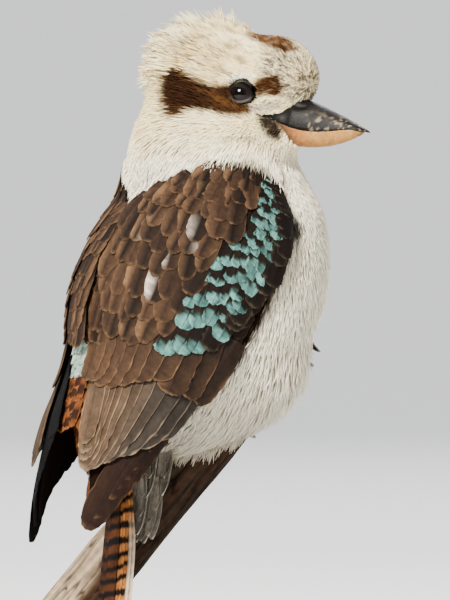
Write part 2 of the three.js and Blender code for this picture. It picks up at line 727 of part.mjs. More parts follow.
// Materials
function material(color, roughness, metalness = 0) {
  return new THREE.MeshStandardMaterial({ color, roughness, metalness });
}
const paint = {
  cream: material(0xe4d9c0, 0.9),
  breast: material(0xe9e2d2, 0.9),
  wing: material(0x5b4636, 0.8),
  tail: material(0xa4622c, 0.8),
  eye: material(0x1c100a, 0.08),
  billDark: material(0x3a3733, 0.45),
  billPale: material(0xcf9a6c, 0.5),
  skin: material(0x6f6a5c, 0.7),
  claw: material(0x2a2622, 0.4),
  bark: material(0x9b8f7c, 0.9),
  stand: material(0x2b2a2a, 0.5),
  rod: material(0x8d8f92, 0.35, 1),
};

const group = new THREE.Group();
function add(name, solid, look) {
  const mesh = solid.getMesh();
  const geometry = new THREE.BufferGeometry();
  geometry.setAttribute("position", new THREE.BufferAttribute(new Float32Array(mesh.vertProperties), 3));
  geometry.setIndex(new THREE.BufferAttribute(new Uint32Array(mesh.triVerts), 1));
  geometry.computeVertexNormals();
  const made = new THREE.Mesh(geometry, look);
  made.name = name;
  group.add(made);
}

const sides = [["right", 1], ["left", -1]];
add("head", headSolid(), paint.cream);
for (const [word, side] of sides) add(`eye_${word}`, eyeball(side), paint.eye);
add("bill_upper", billHalf(true).subtract(nostril(1)).subtract(nostril(-1)), paint.billDark);
add("bill_lower", billHalf(false), paint.billPale);

const trunk = trunkSkin();
const perchClear = perchSolid(GAP);
let neckPart = trunk.intersect(slab(SHOULDER_CUT.height, SHOULDER_CUT.tilt, true, GAP));
for (const [, side] of sides) neckPart = neckPart.subtract(roomFor(wingCore(side)));
add("neck", largest(neckPart.intersect(slab(NECK_CUT.height, NECK_CUT.tilt, false, GAP))), paint.cream);
let torso = trunk.intersect(slab(SHOULDER_CUT.height, SHOULDER_CUT.tilt, false, GAP));
const tail = largest(tailSolid());
torso = torso.subtract(roomFor(tail)).subtract(perchClear);
for (const [, side] of sides) torso = torso.subtract(roomFor(wingCore(side)));
for (const [word] of sides) torso = torso.subtract(pad(FOOT[word], GAP)).subtract(legSolid(FOOT[word], GAP));
add("torso", largest(torso), paint.breast);

const trunkClear = trunkSkin(GAP);
for (const [word, side] of sides) {
  add(`wing_${word}`, largest(wingVanes(side).subtract(trunkClear).add(wingCore(side))), paint.wing);
}
add("tail", tail, paint.tail);
for (const [word] of sides) {
  const t0 = FOOT[word];
  add(`leg_${word}`, largest(legSolid(t0).subtract(footSolid(t0, GAP))), paint.skin);
  add(`foot_${word}`, largest(footSolid(t0).subtract(perchClear)), paint.skin);
  for (const plan of toePlans) {
    add(`claw_${word}_${plan.name}`, largest(claw(t0, plan).subtract(perchClear)), paint.claw);
  }
}
add("perch", perchSolid(), paint.bark);
add("stand_rod", standRod(), paint.rod);
add("stand_base", standBase(), paint.stand);

export default group;
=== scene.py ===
# A laughing kookaburra on a dead branch: skin, feathers, eyes, bill, feet, branch and stand.
# Sizes are in millimetres in the frame of the solids, and turn into metres where a mesh is made.
import math

import bpy
import numpy as np
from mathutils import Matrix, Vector


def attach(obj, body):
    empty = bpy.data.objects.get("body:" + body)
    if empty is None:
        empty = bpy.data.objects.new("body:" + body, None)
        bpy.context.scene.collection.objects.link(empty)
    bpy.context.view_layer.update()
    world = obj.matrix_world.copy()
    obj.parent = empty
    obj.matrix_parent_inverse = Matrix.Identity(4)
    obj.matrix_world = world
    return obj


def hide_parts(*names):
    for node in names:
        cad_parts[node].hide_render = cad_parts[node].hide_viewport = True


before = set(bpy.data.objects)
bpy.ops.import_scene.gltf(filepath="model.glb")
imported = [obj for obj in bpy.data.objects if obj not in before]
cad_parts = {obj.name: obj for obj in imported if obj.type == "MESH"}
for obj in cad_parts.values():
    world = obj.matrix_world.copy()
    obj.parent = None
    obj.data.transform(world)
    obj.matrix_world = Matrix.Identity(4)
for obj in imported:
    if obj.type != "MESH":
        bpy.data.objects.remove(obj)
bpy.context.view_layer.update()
rng = np.random.default_rng(5)

# Sizes shared with the solids, apart from the eye, which lies a little further forward and lower
GAP = 0.3
BLEND = 9.0
PERCH = dict(radius=16.2, top=13.0, up=27.0, down=176.0)
PERCH_CLEARANCE = 6.5
EYE = dict(ahead=-1.9, low=-1.2, radius=8.2, set=6.9, half_width=5.8, half_height=4.2)
BILL = dict(tip=67.4, gape=5.0, base=24.0, drop=-12.6)
LEFT_REACH, LEFT_DROOP = 8.0, 4.0
TAIL = ((-48, -55), (-59, -158), (-64, -203))
FOOT = dict(left=-24.4, right=24.6)
TOE = 2.6


def unit(v):
    return v / np.maximum(np.linalg.norm(v, axis=-1, keepdims=True), 1e-9)


def mix(a, b, t):
    return a + (b - a) * t


def smooth(a, b, x):
    t = np.clip((x - a) / (b - a), 0, 1)
    return t * t * (3 - 2 * t)


def srgb(*c):
    c = np.array(c, float) / 255
    return np.where(c <= 0.04045, c / 12.92, ((c + 0.055) / 1.055) ** 2.4)


# Large odd numbers that scramble a grid corner for the noise
HASH = (374761393, 668265263, 2147483647)
STIR = 1274126177


def noise(p, size, shift=0.0):
    """Smooth seeded value noise of 3-D points, about -1 to 1."""
    q = np.asarray(p, float) / size + 17.3 + shift
    cell = np.floor(q).astype(np.int64)
    w = q - cell
    w = w * w * (3 - 2 * w)
    total = 0
    for i in (0, 1):
        for j in (0, 1):
            for k in (0, 1):
                corner = (i, j, k)
                h = sum((cell[..., m] + corner[m]) * HASH[m] for m in range(3))
                h = (h ^ (h >> 13)) * STIR
                v = ((h ^ (h >> 16)) & 0xFFFF) / 32767.5 - 1
                share = [w[..., m] if corner[m] else 1 - w[..., m] for m in range(3)]
                total = total + v * share[0] * share[1] * share[2]
    return total


class Frame:
    def __init__(self, origin, heading, pitch=0.0):
        h, p = math.radians(heading), math.radians(pitch)
        self.o = np.array(origin, float)
        self.f = np.array([math.cos(h) * math.cos(p), math.sin(h) * math.cos(p), math.sin(p)])
        self.r = np.array([math.sin(h), -math.cos(h), 0.0])
        self.u = np.cross(self.r, self.f)

    def way(self, f, r, u):
        return np.multiply.outer(f, self.f) + np.multiply.outer(r, self.r) + np.multiply.outer(u, self.u)

    def at(self, f, r, u):
        return self.o + self.way(f, r, u)

    def read(self, p):
        d = np.asarray(p) - self.o
        return d @ self.f, d @ self.r, d @ self.u


body = Frame((5.3, 0, 223), 30)
head = Frame((38.4, -3, 332.4), -30, -8)
perch = Frame((37.2, 18, 178.8), 5, 50)


# The same soft masses as the solids
def mass(fr, centre, radii, tilt=0.0):
    t = math.radians(tilt)
    axes = np.stack(
        [fr.way(math.cos(t), 0, math.sin(t)), fr.way(0, 1, 0), fr.way(-math.sin(t), 0, math.cos(t))]
    )
    return fr.at(*centre), axes, np.array(radii, float)


def softest(a, b):
    """The nearer of two fields, blended where they meet."""
    h = np.maximum(BLEND - np.abs(a - b), 0) / BLEND
    return np.minimum(a, b) - h * h * BLEND / 4


def field_of(masses):
    def field(p):
        total = None
        for centre, axes, radii in masses:
            q = ((p - centre) @ axes.T) / radii
            near = np.linalg.norm(q, axis=-1)
            v = near * (near - 1) / np.maximum(np.linalg.norm(q / radii, axis=-1), 1e-9)
            total = v if total is None else softest(total, v)
        return total

    return field


trunk_masses = [
    mass(body, (3, 1, 1), (87, 59, 62), 64),
    mass(body, (20, 2, -34), (42, 44, 36), 40),
    mass(body, (-43, 0, -50), (50, 32, 25), 74),
    mass(body, (9, -3, 68), (56, 44, 45), 88),
]
head_masses = [
    mass(head, (-29, 0, 1), (38, 30, 33)),
    mass(head, (6, 0, 10), (25, 17.5, 21)),
    mass(head, (-16, 0, -18), (34, 27, 22)),
    mass(head, (11, 0, -19.5), (19, 11, 9.5)),
]
whole = field_of(trunk_masses + head_masses)
wing_bed = field_of(trunk_masses + [mass(body, (-39, 0, -46), (116, 46, 26), 64)])


def outside_branch(p, radius):
    d = p - perch.o
    t = np.clip(d @ perch.f, -PERCH["down"], PERCH["up"] + 4)
    return np.linalg.norm(d - t[..., None] * perch.f, axis=-1) - radius


def plumage(p):
    return -softest(-whole(p), outside_branch(p, PERCH["top"] + 1 + PERCH_CLEARANCE))


def surface_from(field, start, way, reach=130.0, step=4.0):
    """How far each ray goes before the field first turns positive."""
    start, way = np.broadcast_arrays(start, way)
    inner = np.zeros(way.shape[:-1])
    live = np.ones(inner.shape, bool)
    for k in range(1, int(reach / step)):
        here = field(start + way * (k * step))
        live &= here < 0
        inner = np.where(live, k * step, inner)
        if not live.any():
            break
    outer = inner + step
    for _ in range(12):
        middle = (inner + outer) / 2
        inside = field(start + way * middle[..., None]) < 0
        inner, outer = np.where(inside, middle, inner), np.where(inside, outer, middle)
    return inner


def slope_of(field, p):
    e = 0.5
    return unit(np.stack([field(p + np.eye(3)[i] * e) - field(p - np.eye(3)[i] * e) for i in range(3)], -1))


# Meshes from arrays. The picture lifts dark tones, so colours are laid a little deeper
DEEPEN = 1.18


def make(name, verts, faces, material, colours=None, uv=None, bake=None, sharp=None):
    mesh = bpy.data.meshes.new(name)
    faces = np.asarray(faces)
    mesh.vertices.add(len(verts))
    mesh.vertices.foreach_set("co", (np.asarray(verts, float) * 0.001).ravel())
    n = faces.shape[1]
    mesh.loops.add(faces.size)
    mesh.loops.foreach_set("vertex_index", faces.ravel())
    mesh.polygons.add(len(faces))
    mesh.polygons.foreach_set("loop_start", np.arange(len(faces)) * n)
    mesh.polygons.foreach_set("use_smooth", np.ones(len(faces), bool))
    mesh.update(calc_edges=True)
    mesh.validate()
    if sharp:
        mesh.set_sharp_from_angle(angle=math.radians(sharp))
    if colours is not None:
        layer = mesh.color_attributes.new("Col", "FLOAT_COLOR", "POINT")
        rgba = np.ones((len(verts), 4))
        rgba[:, :3] = np.clip(colours, 0, 1) ** DEEPEN
        layer.data.foreach_set("color", rgba.ravel())
    if bake is not None:
        mesh.uv_layers.new(name="OFBake").data.foreach_set(
            "uv", np.asarray(bake, float)[faces.ravel()].ravel()
        )
    if uv is not None:
        mesh.uv_layers.new(name="Vane").data.foreach_set("uv", np.asarray(uv, float)[faces.ravel()].ravel())
    obj = bpy.data.objects.new(name, mesh)
    bpy.context.scene.collection.objects.link(obj)
    mesh.materials.append(material)
    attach(obj, "root")
    return obj


def grid_faces(rows, columns, wrap):
    """Quads of a grid of rows by columns, wrapped round its columns or not."""
    i, j = np.meshgrid(np.arange(rows - 1), np.arange(columns if wrap else columns - 1), indexing="ij")
    a, b = i * columns + j, i * columns + (j + 1) % columns
    return np.stack([a, b, b + columns, a + columns], -1).reshape(-1, 4)


def tube(path, radii, sides=12):
    """Verts and quads round a path, closed at both ends by a tiny ring."""
    path, radii = np.asarray(path, float), np.asarray(radii, float)
    path = np.vstack([path[:1], path, path[-1:]])
    radii = np.concatenate([[radii[0] * 0.02], radii, [radii[-1] * 0.02]])
    tangent = unit(np.gradient(path, axis=0) + 1e-9)
    u = unit(np.cross([0.13, 0.31, 0.94], tangent))
    v = np.cross(tangent, u)
    a = np.linspace(0, 2 * math.pi, sides, endpoint=False)
    ring = radii[:, None]
    p = (
        path[:, None] + (ring * np.cos(a))[..., None] * u[:, None]
        + (ring * np.sin(a))[..., None] * v[:, None]
    )
    return p.reshape(-1, 3), grid_faces(len(path), sides, True)


def merge(parts):
    verts, faces, start = [], [], 0
    for v, f in parts:
        verts.append(v)
        faces.append(np.asarray(f) + start)
        start += len(v)
    return np.concatenate(verts), np.concatenate(faces)


# Materials
def material(
    name, rough=0.8, colour=None, bump=0.0, scale=400.0, stretch=(1, 1, 1), spec=0.5, mottle=0.0, vane=False
):
    m = bpy.data.materials.new(name)
    m.use_nodes = True
    nodes, links = m.node_tree.nodes, m.node_tree.links
    shader = nodes["Principled BSDF"]
    shader.inputs["Roughness"].default_value = rough
    shader.inputs["Specular IOR Level"].default_value = spec
    where = nodes.new("ShaderNodeTexCoord")
    stretched = nodes.new("ShaderNodeMapping")
    stretched.inputs["Scale"].default_value = stretch
    links.new(where.outputs["Object"], stretched.inputs["Vector"])
    grain = nodes.new("ShaderNodeTexNoise")
    grain.inputs["Scale"].default_value = scale
    grain.inputs["Detail"].default_value = 5
    links.new(stretched.outputs["Vector"], grain.inputs["Vector"])
    if colour is None:
        col = nodes.new("ShaderNodeVertexColor")
        col.layer_name = "Col"
        source = col.outputs["Color"]
    else:
        flat = nodes.new("ShaderNodeRGB")
        flat.outputs[0].default_value = (*colour, 1)
        source = flat.outputs[0]
    if mottle:
        ramp = nodes.new("ShaderNodeMapRange")
        span = {"From Min": 0.3, "From Max": 0.7, "To Min": 1 - mottle, "To Max": 1 + mottle}
        for word, value in span.items():
            ramp.inputs[word].default_value = value
        links.new(grain.outputs["Fac"], ramp.inputs["Value"])
        times = nodes.new("ShaderNodeVectorMath")
        times.operation = "SCALE"
        links.new(source, times.inputs[0])
        links.new(ramp.outputs["Result"], times.inputs["Scale"])
        source = times.outputs["Vector"]
    links.new(source, shader.inputs["Base Color"])
    if bump:
        height = nodes.new("ShaderNodeBump")
        height.inputs["Strength"].default_value = bump
        height.inputs["Distance"].default_value = 0.0006
        if vane:
            place = nodes.new("ShaderNodeUVMap")
            place.uv_map = "Vane"
            waves = nodes.new("ShaderNodeTexWave")
            waves.wave_type = "BANDS"
            waves.bands_direction = "Y"
            for word, value in {"Scale": 9, "Distortion": 0.8, "Detail": 2}.items():
                waves.inputs[word].default_value = value
            links.new(place.outputs["UV"], waves.inputs["Vector"])
            links.new(waves.outputs["Fac"], height.inputs["Height"])
        else:
            links.new(grain.outputs["Fac"], height.inputs["Height"])
        links.new(height.outputs["Normal"], shader.inputs["Normal"])
    return m


SKIN = material("plumage_skin", 0.95, bump=0.5, scale=900, mottle=0.1, spec=0.03)
COAT = material("plumage_coat", 0.95, spec=0.03, mottle=0.08, scale=500)
VANE = material("plumage_vane", 0.75, spec=0.1, bump=0.3, vane=True, mottle=0.22, scale=420)
EYEBALL = material("eye_wet", 0.04, spec=0.22)
LID = material("eye_lid", 0.7, bump=0.5, scale=1600, mottle=0.1, spec=0.12)
HORN = material("bill_horn", 0.5, bump=0.5, scale=520, mottle=0.24, spec=0.13)
SCUTE = material("foot_scute", 0.5, bump=0.5, scale=1500, mottle=0.16)
CLAW = material("claw_horn", 0.3, bump=0.2, scale=900, mottle=0.15)
WOOD = material("branch_wood", 0.9, bump=0.9, scale=240, mottle=0.25, spec=0.08)
STAND = material(
    "stand_wood", 0.35, colour=srgb(46, 34, 27), bump=0.12, scale=60, stretch=(0.15, 1, 1), mottle=0.25
)
ROD = material(
    "stand_metal", 0.28, colour=srgb(150, 150, 152), bump=0.06, scale=900, stretch=(1, 1, 0.04), mottle=0.05
)
ROD.node_tree.nodes["Principled BSDF"].inputs["Metallic"].default_value = 1.0

# Colours of the plumage
CREAM = srgb(252, 240, 202)
CREAM_WARM = srgb(240, 212, 150)
WHITE = srgb(253, 250, 240)
SHADE = srgb(206, 194, 178)
BROWN = srgb(52, 33, 22)
DARK = srgb(30, 19, 14)
TAN = srgb(118, 92, 68)
MASK = srgb(58, 39, 26)
RUFOUS = srgb(122, 74, 40)
RUFOUS_PALE = srgb(158, 108, 62)
TURQUOISE = srgb(92, 132, 126)
BLACK = srgb(9, 8, 9)
RUMP = mix(srgb(190, 200, 186), TURQUOISE, 0.45)
FRINGE = srgb(140, 112, 82)


def lay(base, colour, amount):
    return base + (np.asarray(colour) - base) * np.clip(amount, 0, 1)[..., None]


wing_top = body.at(14, 0, 62)
wing_line = body.way(-0.4387, 0, -0.8986)
wing_back = body.way(-0.8986, 0, 0.4387)


def wing_place(p):
    d = p - wing_top
    return d @ wing_line, np.degrees(np.arctan2(d @ body.r, d @ wing_back))


def face_place(p):
    """Where a place on the head shows from the side, in mm right of and above its centre."""
    f, s, n = head.read(p)
    return 0.858 * f - 0.5 * np.abs(s) + 0.12 * n, 0.99 * n - 0.139 * f


def patch(place, corners, soft):
    """1 inside an outline on the side of the head, falling to 0 over a soft edge."""
    x, y = place
    corners = np.array(corners, float)
    inside, near = np.zeros(x.shape, bool), np.full(x.shape, 1e9)
    for a, b in zip(corners, np.roll(corners, -1, 0)):
        d = b - a
        t = np.clip(((x - a[0]) * d[0] + (y - a[1]) * d[1]) / (d @ d), 0, 1)
        near = np.minimum(near, np.hypot(x - a[0] - t * d[0], y - a[1] - t * d[1]))
        inside ^= ((a[1] > y) != (b[1] > y)) & (x < (b[0] - a[0]) * (y - a[1]) / (b[1] - a[1] + 1e-12) + a[0])
    return smooth(-soft, soft, np.where(inside, near, -near))


MASK_EDGE = [
    (-13, 4), (-20, 3.4), (-27, 3.2), (-33, 6.5), (-39, 10.5), (-46, 13.5), (-51, 9.5), (-52.5, 0),
    (-50, -9), (-47, -13), (-40, -11), (-34, -9), (-27, -10), (-19, -12), (-10, -12.4), (-5, -10.6),
    (-6, -7.2), (-10, -5),
]
LORE_EDGE = [
    (-4, 4.5), (-0.5, 7.5), (4, 8.2), (9, 8.4), (11.5, 4.2), (11, -1), (7, -2.2), (3, -1.2), (-0.5, -2.6),
    (-4, -2)
]
FLECK_EDGE = [(0, 12), (2, 21), (9, 27), (20, 25), (30, 12), (33, -2), (31, -10), (20, -6), (12, -2), (6, 2)]
CROWN_EDGE = [(-6, 35), (0, 33), (8, 31), (16, 28), (19, 22), (13, 20.5), (5, 23.5), (-2, 27), (-9, 30)]
BILL_EDGE = [
    (-3, -12.8), (8, -12.4), (13.9, -9), (18.2, -6), (24, -5), (28, -4.4), (54, -20), (36, -29),
    (22, -29.5), (18.2, -28), (14.8, -26), (10.6, -20.4), (8, -16.2), (3, -13.6),
]
BRISTLE_EDGE = [(-2, -12), (4, -12.5), (9, -15), (11.5, -20), (9.5, -25), (4, -23), (0, -18)]
WEDGE_EDGE = [(-6, -8.4), (3, -4.6), (11, -4), (11, -8), (2, -10.5), (-5, -10.6)]


def mantle_line(turn):
    """How far down the back the brown starts, by the turn round it."""
    return np.interp(np.abs(turn), [0, 19, 44, 68, 88, 100, 108, 114], [38, 24, 7, -7, -9, -4, 10, 40])


def markings(p):
    """The plumage's colour at a place, in one rule for the skin and for the coat over it."""
    f, s, n = head.read(p)
    a, _, z = body.read(p)
    place = face_place(p)
    fine, broad = noise(p, 2.0), noise(p, 9.0, 3.1)
    c = np.broadcast_to(CREAM, p.shape).copy()
    c = lay(c, CREAM_WARM, 0.22 + 0.5 * broad)
    # Throat, breast and belly are whiter, faintly barred on the breast
    low = smooth(318, 290, p[..., 2])
    c = lay(c, WHITE, low * 0.7)
    bars = np.sin(z * 1.3 + 2.4 * noise(p, 6.0, 9.0)) * 0.5 + 0.5
    c = lay(c, SHADE, low * (0.04 + 0.3 * bars * smooth(0.0, 0.6, broad)))
    # Painted shade: the lower belly is laid greyer
    c = lay(c, srgb(176, 166, 152), low * smooth(-30, -75, z) * 0.45)
    # Thin streaks from the crown to the nape, and dark flecks on the forehead
    streak = noise(np.stack([f * 0.18, s, n], -1), 1.5, 5.0)
    above = smooth(0, 10, place[1]) * smooth(8, -6, place[0])
    c = lay(c, TAN, above * smooth(0.05, 0.55, streak) * 0.6)
    c = lay(
        c, CREAM_WARM * 0.8, patch(place, [(-38, 30), (-26, 26), (-24, 12), (-34, 10), (-40, 20)], 4) * 0.35
    )
    flecks = patch(place, FLECK_EDGE, 3)
    c = lay(c, srgb(226, 210, 182), flecks * 0.5)
    c = lay(c, DARK, flecks * smooth(0.05, 0.3, noise(p, 1.15, 7.0)) * 0.75)
    top = patch(place, CROWN_EDGE, 1.6) * smooth(17, 9, np.abs(s))
    c = lay(c, srgb(98, 66, 40), np.minimum(top * (0.95 + 0.4 * fine), 1))
    c = lay(c, DARK, top * smooth(0.1, 0.5, streak) * 0.7)
    # The mask runs back from the eye and widens over the ear; rufous under it and before the eye
    mask = patch(place, MASK_EDGE, 2.0 + 1.6 * np.abs(streak))
    rear = smooth(-14, -32, place[0])
    tone = mix(srgb(72, 50, 32), MASK, np.clip(rear + 0.45 * smooth(-3, 2, place[1]), 0, 1)[..., None])
    tone = mix(tone, srgb(104, 76, 50), (0.7 * rear * smooth(0.0, 0.5, streak))[..., None])
    c = lay(c, tone, np.minimum(mask * 1.25, 1))
    line = patch(place, [(-24, -1), (-14, -6.5), (-6, -9), (-8, -10.4), (-18, -8), (-26, -3)], 0.8)
    c = lay(c, srgb(128, 92, 54), line * 0.35)
    c = lay(c, srgb(76, 50, 30), np.minimum(patch(place, LORE_EDGE, 1.6) * (1.05 + 0.3 * fine), 1))
    c = lay(c, WHITE, patch(place, [(-19, 6), (-12, 9.5), (-4, 9), (-5, 6.4), (-12, 6.6)], 1.0) * 0.8)
    # The small wedge by the gape is laid grey: painted shade
    c = lay(c, srgb(170, 162, 150), patch(place, WEDGE_EDGE, 1.0) * 0.7)
    c = lay(c, srgb(66, 56, 48), np.minimum(patch(place, BRISTLE_EDGE, 1.8) * (1.05 + 0.3 * fine), 1))
    # Painted shade along the fold below the cheek
    sag = place[1] + 23.4 + 0.9 * ((place[0] + 11) / 11) ** 2
    fold_shade = smooth(0.8, 0.2, np.abs(sag)) * smooth(-23, -18, place[0]) * smooth(-1, -6, place[0])
    c = lay(c, srgb(128, 98, 66), fold_shade * 0.8)
    # Brown mantle down the back, its top edge slanting round the neck
    along, turn = wing_place(p)
    edge = along - mantle_line(turn) + 2.0 * broad
    mantle = smooth(-3, 1.5, edge) * smooth(114, 109, np.abs(turn)) * smooth(308, 302, p[..., 2])
    c = lay(c, mix(BROWN, DARK, 0.4), mantle)
    c = lay(c, TAN, mantle * 0.35 * smooth(0.0, 0.7, noise(p, 3.0, 2.0)))
    # Greyer feathers where the breast meets the wing's bend, and a slit in front of it painted black as
    # shadow
    bend = smooth(8, 0, np.abs(np.abs(turn) - 108)) * smooth(5, 20, along) * smooth(60, 40, along)
    c = lay(c, srgb(150, 134, 114), bend * (0.4 + 0.35 * fine))
    slit_shadow = smooth(5.5, 3.0, np.hypot((along - 13) * 0.7, (np.abs(turn) - 115.5) * 0.85))
    c = lay(c, BLACK, slit_shadow * 0.9)
    # Rump: pale turquoise, then rufous with dark bars
    rump = smooth(100, 108, along) * smooth(78, 66, np.abs(turn)) * smooth(0, -8, a)
    c = lay(c, RUMP, rump * 0.85)
    tailward = rump * smooth(126, 134, along + 3 * broad)
    c = lay(c, RUFOUS, tailward)
    c = lay(c, DARK, tailward * smooth(0.1, 0.6, np.sin(along * 0.75 + 1.5 * noise(p, 8.0, 4.0))) * 0.8)
    return c


# One skin from the rump to the crown, in rings round a bent spine
RINGS, SIDES = 190, 128
SPINE_STEPS, LOWER_CAP = 130, 26


def skin_points():
    """The plumage's outer surface in rings along the spine, with a cap of rings at each end."""
    spine = np.array([(-42, -70), (-22, -28), (-2, 24), (8, 60), (14, 88), (15.2, 100), (15.6, 109.4)], float)
    steps = np.linspace(0, 1, SPINE_STEPS)
    knots = np.concatenate([[0], np.cumsum(np.hypot(*np.diff(spine, axis=0).T))])
    way = [np.interp(steps * knots[-1], knots, spine[:, i]) for i in (0, 1)]
    for _ in range(60):
        for w in way:
            w[1:-1] = (w[:-2] + w[1:-1] * 2 + w[2:]) / 4
    centre = body.at(way[0], np.zeros(SPINE_STEPS), way[1])
    lean = np.radians(np.interp(steps, [0, 0.35, 0.6, 0.85, 1], [64, 66, 78, 90, 90]))
    up = body.way(np.cos(lean), np.zeros(SPINE_STEPS), np.sin(lean))
    a = np.linspace(0, 2 * math.pi, SIDES, endpoint=False)
    rows, directions, starts = [], [], []
    for share in np.linspace(-0.999, -0.02, LOWER_CAP):
        rows.append((centre[0], up[0], share * math.pi / 2))
    rows += [(centre[i], up[i], 0.0) for i in range(SPINE_STEPS)]
    for share in np.linspace(0.02, 0.999, RINGS - SPINE_STEPS - LOWER_CAP):
        rows.append((centre[-1], up[-1], share * math.pi / 2))
    for c, axis, tip in rows:
        forward = unit(np.cross(axis, body.r))
        flat = np.cos(a)[:, None] * body.r + np.sin(a)[:, None] * forward
        directions.append(flat * math.cos(tip) + axis * math.sin(tip))
        starts.append(np.broadcast_to(c, (SIDES, 3)))
    directions, starts = np.array(directions), np.array(starts)
    return starts + directions * surface_from(plumage, starts, directions)[..., None]


hull = skin_points()
hull_normal = slope_of(plumage, hull)


def eye_centre(side):
    start = head.at(EYE["ahead"], 0, EYE["low"])
    way = head.r * side
    return start + way * (surface_from(whole, start[None], way[None])[0] - EYE["set"])


eyes = {side: eye_centre(side) for side in (1, -1)}


def coat_depth(p):
    """How deep the skin lies under the plumage's outer surface."""
    f, _, n = head.read(p)
    depth = 1.3 + 1.6 * smooth(322, 285, p[..., 2]) + 1.0 * smooth(5, -25, f) * smooth(-10, 12, n)
    a, _, z = body.read(p)
    depth = depth + 1.4 * smooth(-5, -50, z) * smooth(-10, 15, a)
    for c in eyes.values():
        depth = depth + 2.6 * np.exp(-((np.linalg.norm(p - c, axis=-1) - 7.5).clip(0) / 4.2) ** 2)
    return depth


skin_at = hull - hull_normal * coat_depth(hull)[..., None]
skin_verts = skin_at.reshape(-1, 3)
skin_faces = grid_faces(RINGS, SIDES, True)
# The skin between the tufts is laid a tenth darker: painted shade under the coat
skin_colour = markings(hull.reshape(-1, 3)) * 0.9
around, along_ = np.meshgrid(np.arange(SIDES) / SIDES, np.arange(RINGS) / (RINGS - 1))
skin_uv = np.stack([around, along_], -1).reshape(-1, 2)
skin = make("skin", skin_verts, skin_faces, SKIN, skin_colour, bake=skin_uv)
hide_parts("head", "neck", "torso")


# Tufts: thin closed blades in joined meshes, rooted a little under the skin
TUFT_THICK, TUFT_SUNK = 0.22, 0.8


def on_hull(u, v):
    """Points, normals and tangents of the hull at ring and turn shares, by blending its grid."""
    i = np.clip(v * (RINGS - 1), 0, RINGS - 1.001)
    j = u * SIDES
    i0, j0 = np.floor(i).astype(int), np.floor(j).astype(int)
    wi, wj = (i - i0)[:, None], (j - j0)[:, None]
    j1 = (j0 + 1) % SIDES
    j0 = j0 % SIDES

    def blend(g):
        return (
            (g[i0, j0] * (1 - wj) + g[i0, j1] * wj) * (1 - wi)
            + (g[i0 + 1, j0] * (1 - wj) + g[i0 + 1, j1] * wj) * wi
        )

    return blend(hull), unit(blend(hull_normal)), blend(skin_at)


def scatter(count, density):
    """Seeded places spread over the hull by area times a density from 0 to 1."""
    du = np.linalg.norm(np.roll(hull, -1, 1) - hull, axis=-1)
    dv = np.linalg.norm(np.diff(hull, axis=0, append=hull[-1:]), axis=-1)
    weight = (du * dv * density(hull)).ravel()
    weight /= weight.sum()
    # Even spread: a jittered walk through the cumulative weight
    total = np.cumsum(weight)
    pick = np.searchsorted(total, (np.arange(count) + rng.random(count)) / count)
    pick = np.minimum(pick, len(weight) - 1)
    i, j = pick // SIDES, pick % SIDES
    return (j + rng.random(count)) / SIDES % 1, np.clip((i + rng.random(count)) / (RINGS - 1), 0, 1)


def lie(p, n):
    """The way the plumage lies: back from the bill on the head, and down the body below it."""
    u = head.read(p)[2]
    back = (
        -head.f + 0.25 * head.u * smooth(0, 20, u)[..., None] - 0.5 * head.u * smooth(-2, -22, u)[..., None]
    )
    down = -body.way(0.44, 0, 0.9)
    flow = mix(down, back, smooth(296, 322, p[..., 2])[..., None])
    a, _, z = body.read(p)
    flow = flow + body.way(0, 0, -0.5) * (smooth(10, 30, a) * smooth(-10, -30, z))[..., None]
    flow = flow - n * np.sum(flow * n, -1, keepdims=True)
    return unit(flow)


def blades(name, u, v, length, width, rise, colour, tip, slot, rings=3, wander=0.12):
    hull_p, n, skin_p = on_hull(u, v)
    count = len(u)
    flow = lie(hull_p, n)
    flow = unit(flow + np.cross(n, flow) * rng.normal(0, wander, count)[:, None])
    across = np.cross(flow, n)
    depth = np.linalg.norm(hull_p - skin_p, axis=-1)
    root = skin_p - n * TUFT_SUNK
    t = np.linspace(0, 1, rings + 1)
    share = np.array({2: [0.9, 1.0, 0.12], 3: [0.7, 1.0, 0.7, 0.1]}[rings])
    lift = (1 - (1 - t) ** 1.7)[None] * (depth + rise)[:, None] + TUFT_SUNK * t[None]
    middle = root[:, None] + flow[:, None] * (length[:, None] * t)[..., None] + n[:, None] * lift[..., None]
    w = width[:, None] * share[None]
    left = middle - across[:, None] * w[..., None] - n[:, None] * (0.25 * w)[..., None]
    right = middle + across[:, None] * w[..., None] - n[:, None] * (0.25 * w)[..., None]
    top = middle + n[:, None] * (TUFT_THICK * share[None] * np.ones((count, 1)))[..., None]
    verts = np.stack([left, top, right], 2).reshape(count, -1, 3)
    per = verts.shape[1]
    tri = []
    for i in range(rings):
        for k in range(3):
            a0, b0 = i * 3 + k, i * 3 + (k + 1) % 3
            tri += [(a0, b0, b0 + 3), (a0, b0 + 3, a0 + 3)]
    tri += [(0, 2, 1), (rings * 3, rings * 3 + 1, rings * 3 + 2)]
    faces = (np.arange(count) * per)[:, None, None] + np.array(tri)[None]
    # Painted shade darkens each blade toward its root, and its top ridge is laid lighter as a painted
    # highlight
    shade = mix(0.84, 1.0, t)[None, :, None]
    cols = mix(colour[:, None], tip[:, None], (t**1.5)[None, :, None]) * shade
    cols = np.repeat(cols[:, :, None], 3, 2)
    cols[:, :, 1] *= 1.06
    where = np.stack([u, v], -1)[:, None, None] + 0.003 * (
        np.stack(np.meshgrid(t, [0, 0.5, 1], indexing="ij"), -1)[None] - 0.5
    )
    where = np.broadcast_to(where, (count, rings + 1, 3, 2)).reshape(-1, 2)
    return make(
        name, verts.reshape(-1, 3), faces.reshape(-1, 3), COAT, cols.reshape(-1, 3), bake=where
    )


